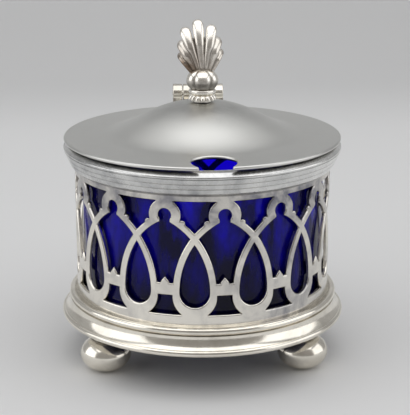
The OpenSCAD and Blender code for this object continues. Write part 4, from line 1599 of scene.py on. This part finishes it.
@dataclass
class ShellFinial:
    """Shell fan of seven ribs on a melon knop, with a petalled collar on the lid's crown."""

    finish: bpy.types.Material
    collar_r: float = 2.3
    petals: int = 14
    petal_w: float = 0.55
    petal_len: float = 1.0
    petal_thick_share: float = 0.8
    petal_drop: float = 0.75
    petal_tilt_deg: float = 50
    core_r: float = 2.1
    core_h: float = 1.8
    ring_r: float = 2.9
    ring_h: float = 0.9
    knop_r: float = 3.45
    lobes: int = 5
    flute_depth: float = 0.45
    knop_z: float = field(default_factory=lambda: corner_low("finial_knop").z + 1.0)
    shell_z: float = field(default_factory=lambda: corner_high("finial_knop").z + 0.3)
    shell_h: float = 10.9
    root_w: float = 2.2
    dome: float = 0.4
    lean_deg: float = 4.0
    tilt_deg: float = 5.3
    root_r: float = 0.45
    curl: float = 2.3
    plate_share: float = 0.7
    # Painted shade on the shell, full up to about its foot and gone near its tips
    haze_and_shade: float = 0.9
    shade_h: float = 7

    # Ribs from the middle to one side: place of the tip, its drop below the top, its radius
    RIBS = ((0.0, 0.0, 1.3), (3.05, 1.4, 1.3), (4.0, 4.1, 1.4), (4.6, 6.8, 0.85))

    def collar(self) -> bpy.types.Mesh:
        """Makes the petals, which hang down to the crown, and the ring on top of them.

        Returns:
            The collar's mesh.
        """
        top_z = self.knop_z - self.ring_h
        across = [math.tau * j / 16 for j in range(16)]
        along = [math.radians(-86 + 172 * k / 12) for k in range(13)]
        thick = self.petal_w * self.petal_thick_share
        rows = [[(self.petal_w * math.cos(a) * math.sin(b), self.petal_len * math.sin(a),
                  thick * math.cos(a) * math.cos(b)) for b in across] for a in along]
        petal = Skin().capped(rows)
        place = Matrix.Translation((0, -self.collar_r, top_z - self.petal_drop))
        petal.moved(place @ Matrix.Rotation(math.radians(self.petal_tilt_deg), 4, "X"))
        mesh = run_tree(petal.mesh("petal", 60), ring_tree(), {
            "Count": self.petals, "Start angle": 0.0, "Finish": self.finish})
        skin = Skin([v.co / MM for v in mesh.vertices], [tuple(p.vertices) for p in mesh.polygons])
        core_z = top_z - self.core_h
        core = [(0.0, core_z), (self.core_r, core_z), (self.core_r, top_z - 0.2),
                (self.core_r - 0.2, top_z), (0.0, top_z)]
        skin.turned(core, 64, loop=False)
        ring = filleted([(1.0, top_z - 0.1, 0), (self.ring_r, top_z - 0.1, 0.4),
                         (self.ring_r, self.knop_z, 0.45), (1.0, self.knop_z, 0)], 0.06)
        skin.turned(ring, 96)
        return skin.mesh("collar", 50, 0.4)

    def knop(self) -> bpy.types.Mesh:
        """Makes the melon knop, with a lobe at the front.

        Returns:
            The knop's mesh.
        """
        low, high = math.radians(-50), math.radians(78)
        height = self.shell_z - self.knop_z + self.dome
        sides = 24 * self.lobes
        rows = []
        for k in range(41):
            up = low + (high - low) * k / 40
            rise = height * (math.sin(up) - math.sin(low)) / (math.sin(high) - math.sin(low))
            level = self.knop_z + rise
            ring_r = self.knop_r * math.cos(up) ** 0.7
            row = []
            for i in range(sides):
                a = math.tau * i / sides
                lobe = abs(math.cos(self.lobes * a / 2))
                reach = ring_r - self.flute_depth * (1 - lobe) ** 2.2 * math.cos(up) ** 0.5
                row.append((reach * math.sin(a), -reach * math.cos(a), level))
            rows.append(row)
        mesh = Skin().capped(rows).mesh("knop", 60, 0.45)
        # Painted shade: the knop's downward-facing lower half is darkened
        stain(mesh, "groove_and_shade", lambda _, normal: np.clip(0.5 - 2.5 * normal[:, 2], 0, 1))
        return mesh

    def rib(self, number: int, tip_x: float, tip_z: float, tip_r: float,
            side: int) -> list[list[Vector]]:
        """Draws the rings of one rib, which swells towards a round tip that curls back.

        Args:
            number: the rib's number from the middle.
            tip_x: how far out its tip lies.
            tip_z: the height of its tip.
            tip_r: the radius of its tip.
            side: 1 for the right and -1 for the left.

        Returns:
            Rings of points from the root to the tip.
        """
        root_x = self.root_w * number / 3
        slope = Vector((tip_x - root_x, 0, tip_z)).normalized()
        across = Vector((slope.z, 0, -slope.x))
        length = math.hypot(tip_x - root_x, tip_z)
        rows = []
        for k in range(33):
            t = math.sin(math.pi / 2 * k / 32)
            back = self.curl * max(0, (t - 0.5) / 0.5) ** 1.6
            centre = Vector((root_x, back, 0)) + slope * (length * t)
            r = self.root_r + (tip_r - self.root_r) * t ** 0.8
            left = length * (1 - t)
            if left < tip_r:
                r *= math.sqrt(max(0.002, 1 - (1 - left / tip_r) ** 2))
            row = []
            for j in range(24):
                a = math.tau * j / 24
                spot = centre + across * (r * math.cos(a)) + Vector((0, 0.75 * r * math.sin(a), 0))
                row.append(Vector((side * spot.x, spot.y, spot.z)))
            rows.append(row if side > 0 else row[::-1])
        return rows

    def shell(self) -> bpy.types.Mesh:
        """Casts the fan of ribs on its plate and foot.

        Returns:
            The shell's mesh.
        """
        skin = Skin()
        for i, (tip_x, drop, tip_r) in enumerate(self.RIBS):
            for side in ((1, -1) if i else (1,)):
                skin.capped(self.rib(i, tip_x, self.shell_h - drop, tip_r, side))
        # The plate behind the ribs ends part of the way up each of them
        roots = [self.root_w * i / 3 for i in range(len(self.RIBS))]
        marks = [(root + (rib[0] - root) * self.plate_share, (self.shell_h - rib[1]) * self.plate_share)
                 for root, rib in zip(roots, self.RIBS)]
        rows = []
        for y in (-0.1, 0.7):
            row = [(-self.root_w, y, 0.0)]
            row += [(-x, y + 0.3, z) for x, z in reversed(marks[1:])]
            row += [(x, y + 0.3, z) for x, z in marks]
            rows.append(row + [(self.root_w, y, 0.0)])
        skin.capped(rows)
        lean = Matrix.Rotation(math.radians(-self.lean_deg), 4, "X")
        skin.moved(lean @ Matrix.Rotation(math.radians(-self.tilt_deg), 4, "Y"))
        foot = [(0.0, -0.8), (self.root_w, -0.8), (self.root_w, -0.2), (self.root_w * 0.7, 0.3),
                (0.0, 0.3)]
        base = Skin().turned(foot, 48, loop=False).moved(Matrix.Diagonal((1, 0.5, 1, 1)))
        skin.add(base.points, base.faces)
        cast = fused(skin, 0.09, 3)
        cast.moved(Matrix.Translation((0, 0, self.shell_z)))
        mesh = cast.mesh("shell", 60, 0.5)
        # Painted shade, darker towards the shell's foot
        stain(mesh, "haze_and_shade", lambda place, _:
              self.haze_and_shade * np.clip(1.2 - (place[:, 2] - self.shell_z) / self.shade_h, 0, 1))
        return mesh

    def build(self) -> None:
        """Makes the finial's three pieces."""
        pieces = {"collar": self.collar(), "knop": self.knop(), "shell": self.shell()}
        for name, mesh in pieces.items():
            show("finial_cast_" + name, mesh, self.finish, Body.LID, ["finial_" + name])


@dataclass(frozen=True)
class SoftBox:
    """A soft lamp, with its places and sizes in millimetres."""

    name: str
    place: tuple[float, float, float]
    aim: tuple[float, float, float]
    width: float
    height: float
    watts: float

    def hang(self) -> None:
        """Hangs the lamp and turns it to the point that it faces."""
        light = bpy.data.lights.new(self.name, "AREA")
        light.shape = "RECTANGLE"
        light.size, light.size_y = self.width * MM, self.height * MM
        light.energy = self.watts
        lamp = linked(self.name, light)
        lamp.location = Vector(self.place) * MM
        lamp.rotation_mode = "QUATERNION"
        lamp.rotation_quaternion = (Vector(self.aim) - Vector(self.place)).to_track_quat("-Z", "Y")


@dataclass
class Studio:
    """Pale sweep of paper, soft lamps and the camera at the photograph's angle."""

    # The camera aims at a point near the drum's middle, from a little to the left and above
    aim: Vector = field(default_factory=lambda: Vector((0.577, 0, 32.52)))
    distance: float = 306.4
    elevation: float = 16.1
    azimuth: float = -2.0
    lens: float = 121.4
    sensor_w: float = 36
    # The paper lies flat, bends up in front of the wall line and then leans back
    paper_columns: tuple[float, ...] = (-560.0, -300.0, 0.0, 300.0, 560.0)
    paper_near_y: float = -900.0
    wall_y: float = 420.0
    bend_r: float = 120.0
    lean_deg: float = 60.0
    # Its greys, painted lighter in the middle and up the wall and darker far back as painted light and
    # shade, and the places between which each passes into the next
    floor_hex: str = "F0F0F0"
    middle_lit_hex: str = "FBFBFB"
    middle_y: Point = (30, 200)
    far_shaded_hex: str = "E2E2E2"
    far_y: Point = (220, 400)
    wall_lit_hex: str = "F6F6F6"
    wall_z: Point = (20, 300)
    # The grey beyond it, and the places between which it fades into that, at the sides and in front
    beyond_hex: str = "A0A0A0"
    fade_x: Point = (180, 500)
    fade_y: Point = (-300, -700)
    room_hex: str = "BABBBD"
    room_light: float = 0.2
    card_hex: str = "A8A5A2"
    card_y: float = -345.0
    card_half_w: float = 400.0
    card_h: float = 420.0
    matt: float = 0.9

    LAMPS = (
        SoftBox("overhead_soft_box", (0, -200, 520), (0, -200, 0), 800, 800, 2.2),
        SoftBox("left_soft_box", (-500, -150, 220), (0, -60, 60), 620, 420, 0.85),
        SoftBox("right_soft_box", (500, -150, 220), (0, -60, 60), 620, 420, 0.75),
        SoftBox("rear_soft_box", (0, 380, 560), (0, 0, 50), 900, 420, 0.32),
    )

    @staticmethod
    def sight(tree: bpy.types.NodeTree) -> bpy.types.NodeSocket:
        """Tells what the camera sees, straight or by way of metal and glass, from what lights the pot.

        Args:
            tree: the node tree of the paper or of the world.

        Returns:
            A socket that is 1 for what is seen.
        """
        rays = put(tree, "ShaderNodeLightPath").outputs
        mirrors = put(tree, "ShaderNodeMath", {0: rays["Is Camera Ray"], 1: rays["Is Glossy Ray"]},
                      operation="MAXIMUM")
        return put(tree, "ShaderNodeMath", {0: mirrors.outputs[0], 1: rays["Is Transmission Ray"]},
                   operation="MAXIMUM").outputs[0]

    def paper_finish(self) -> bpy.types.Material:
        """Makes the paper: matt, in greys that pass softly into each other and paint light and shade on it.

        Returns:
            The material.
        """
        # Matt uncoated paper: soft, nearly without a shine, so that the pot's shadow shows on it
        made, shader = started("grey_background_paper")
        tree = made.node_tree
        place = put(tree, "ShaderNodeSeparateXYZ", {0: put(tree, "ShaderNodeTexCoord").outputs["Object"]})
        tint = linear(self.floor_hex)
        # Painted light and shade: lighter in the middle and up the wall, darker far back
        for axis, (start, end), grey in (("Y", self.middle_y, self.middle_lit_hex),
                                         ("Y", self.far_y, self.far_shaded_hex),
                                         ("Z", self.wall_z, self.wall_lit_hex)):
            share = put(tree, "ShaderNodeMapRange", {"Value": place.outputs[axis], "From Min": start * MM,
                                                     "From Max": end * MM}).outputs["Result"]
            tint = put(tree, "ShaderNodeMix", {0: share, 6: tint, 7: linear(grey)},
                       data_type="RGBA").outputs[2]
        tree.links.new(tint, shader.inputs["Base Color"])
        shader.inputs["Roughness"].default_value = self.matt
        shader.inputs["Specular IOR Level"].default_value = 0.2
        # Far from the pot the paper fades, to the eye and in reflections, into the grey beyond its edges
        aside = put(tree, "ShaderNodeMath", {0: place.outputs["X"]}, operation="ABSOLUTE").outputs[0]
        wide, fore = (
            put(tree, "ShaderNodeMapRange", {"Value": value, "From Min": start * MM,
                                             "From Max": end * MM}).outputs["Result"]
            for value, (start, end) in ((aside, self.fade_x), (place.outputs["Y"], self.fade_y)))
        edge = put(tree, "ShaderNodeMath", {0: wide, 1: fore}, operation="MAXIMUM").outputs[0]
        seen = put(tree, "ShaderNodeMath", {0: edge, 1: self.sight(tree)}, operation="MULTIPLY").outputs[0]
        glow = put(tree, "ShaderNodeEmission", {"Color": linear(self.beyond_hex)})
        faded = put(tree, "ShaderNodeMixShader", {0: seen, 1: shader.outputs[0], 2: glow.outputs[0]})
        tree.links.new(faded.outputs[0], tree.nodes["Material Output"].inputs["Surface"])
        return made

    def sweep_paper(self) -> None:
        """Makes the floor that curves up into the backdrop."""
        bend_y = self.wall_y - self.bend_r
        line = [(self.paper_near_y, 0.0), (-300.0, 0.0), (0.0, 0.0), (bend_y, 0.0)]
        line += arc((bend_y, self.bend_r), self.bend_r, -90, self.lean_deg - 90, 8)[1:]
        # Above the bend the paper leans back, so that the lamp overhead lights it well up
        out, up = math.cos(math.radians(self.lean_deg)), math.sin(math.radians(self.lean_deg))
        line += [(line[-1][0] + out * s, line[-1][1] + up * s) for s in (200.0, 500.0, 1000.0)]
        rows = [[(x, y, z) for x in self.paper_columns] for y, z in line]
        mesh = Skin().rows(rows, ring=False).loose_mesh("paper_sweep")
        mesh.polygons.foreach_set("use_smooth", [True] * len(mesh.polygons))
        mesh.materials.append(self.paper_finish())
        paper = linked("paper_sweep", mesh)

    def front_card(self) -> None:
        """Stands a grey card behind the camera, which only the silver's reflections see."""
        half = self.card_half_w
        rows = [[(x, self.card_y, z) for x in (-half, half)] for z in (0.0, self.card_h)]
        mesh = Skin().rows(rows, ring=False).loose_mesh("front_card")
        # Matt painted card: an even grey without a shine, which dims the silver's front
        made, shader = started("grey_card")
        shader.inputs["Base Color"].default_value = linear(self.card_hex)
        shader.inputs["Roughness"].default_value = self.matt
        mesh.materials.append(made)
        card = linked("front_card", mesh)
        card.visible_camera = card.visible_diffuse = card.visible_shadow = False

    def camera(self) -> None:
        """Sets the camera."""
        data = bpy.data.cameras.new("photo_camera")
        data.lens = self.lens
        data.sensor_width = self.sensor_w
        data.clip_start, data.clip_end = 0.01, 10
        a, e = math.radians(self.azimuth), math.radians(self.elevation)
        back = Vector((math.sin(a) * math.cos(e), -math.cos(a) * math.cos(e), math.sin(e)))
        camera = linked("photo_camera", data)
        camera.location = (self.aim + back * self.distance) * MM
        camera.rotation_mode = "QUATERNION"
        camera.rotation_quaternion = (-back).to_track_quat("-Z", "Y")
        bpy.context.scene.camera = camera

    def room(self) -> bpy.types.World:
        """Makes the dim room, past whose paper the eye and the silver meet a plain grey.

        Returns:
            The world.
        """
        world = bpy.data.worlds.new("studio_room")
        world.use_nodes = True
        tree = world.node_tree
        dim = tree.nodes["Background"]
        dim.inputs["Color"].default_value = linear(self.room_hex)
        dim.inputs["Strength"].default_value = self.room_light
        beyond = put(tree, "ShaderNodeBackground", {"Color": linear(self.beyond_hex)})
        either = put(tree, "ShaderNodeMixShader", {0: self.sight(tree), 1: dim.outputs[0],
                                                   2: beyond.outputs[0]})
        tree.links.new(either.outputs[0], tree.nodes["World Output"].inputs["Surface"])
        return world

    def build(self) -> None:
        """Sets the stage, the lamps, the camera and the world."""
        scene = bpy.context.scene
        scene.view_settings.view_transform = "Standard"
        scene.world = self.room()
        self.sweep_paper()
        for lamp in self.LAMPS:
            lamp.hang()
        self.front_card()
        self.camera()


def main() -> None:
    """Builds the pot's sub-assemblies in order."""
    logging.basicConfig(level=logging.INFO, format="%(name)s %(message)s")
    Studio().build()
    # Polished cast and turned silver: mirror-like with soft wear, dark lines in its grooves, and painted
    # shade on the feet's necks
    polished = SilverFinish("polished_cast_silver").build()
    # Sawn and hand-polished sheet: the same metal, faintly wavy, with a cool grey haze in patches, painted
    # shade under the rim band and a darker patch right of the front
    pierced = SilverFinish("pierced_sheet_silver", metal="F2EEE5", rough=0.16, upright=True,
                           wave_depth_mm=0.02, haze_and_shade_hex="84848C", patch_mm=7).build()
    # Worn satin sheet: soft grey sheen, drawn out along the fine lines of an old buffing, with painted shade
    # round the crown and underneath
    satin = SilverFinish("worn_satin_silver", metal="D7D7D4", rough=0.34, rough_span=0.04,
                         wave_depth_mm=0.002, scratch_mm=0.6, scratch_stretch=60,
                         scratch_depth_mm=0.0002, haze_and_shade=0.0, haze_and_shade_hex="8E8E8C", edge_gloss=-0.15).build()
    # Dulled reeded strip: greyer and rougher than the rest, under a thin blue-grey haze, with painted shade
    # over its left
    dulled = SilverFinish("dulled_strip_silver", metal="F0F0EE", rough=0.2, rough_span=0.1, haze_and_shade=0.25,
                          haze_and_shade_hex="8A8C90", dirt_and_shade=0.5).build()
    # Underside that nobody polishes: a blue-black oxide, made this dark as painted shade under the pot, that
    # lets little light back
    tarnished_and_shaded = SilverFinish("tarnished_and_shaded_underside_silver", metal="565662", rough=0.35, haze_and_shade=0.7,
                             haze_and_shade_hex="34343E").build()
    # Cast shell and knop: softer than the polished parts, white on its ridges, brown in its hollows, with
    # painted shade on the knop's underside and towards the shell's foot
    cast = SilverFinish("cast_shell_silver", metal="FAF6EE", rough=0.2, wave_depth_mm=0.006, haze_and_shade=0.25,
                        haze_and_shade_hex="847262").build()
    # Blown cobalt glass: nearly black towards the bottom, deep blue where light comes through, with a
    # painted light on its back
    cobalt = CobaltGlass().build()
    PiercedGallery(pierced).build()
    RimBand(dulled).build()
    BaseMoulding(polished, tarnished_and_shaded).build()
    GlassLiner(cobalt).build()
    BunFeet(polished).build()
    Hinge(polished).build()
    LoopHandle(polished).build()
    BellLid(satin).build()
    ShellFinial(cast).build()


if __name__ == "__main__":
    main()
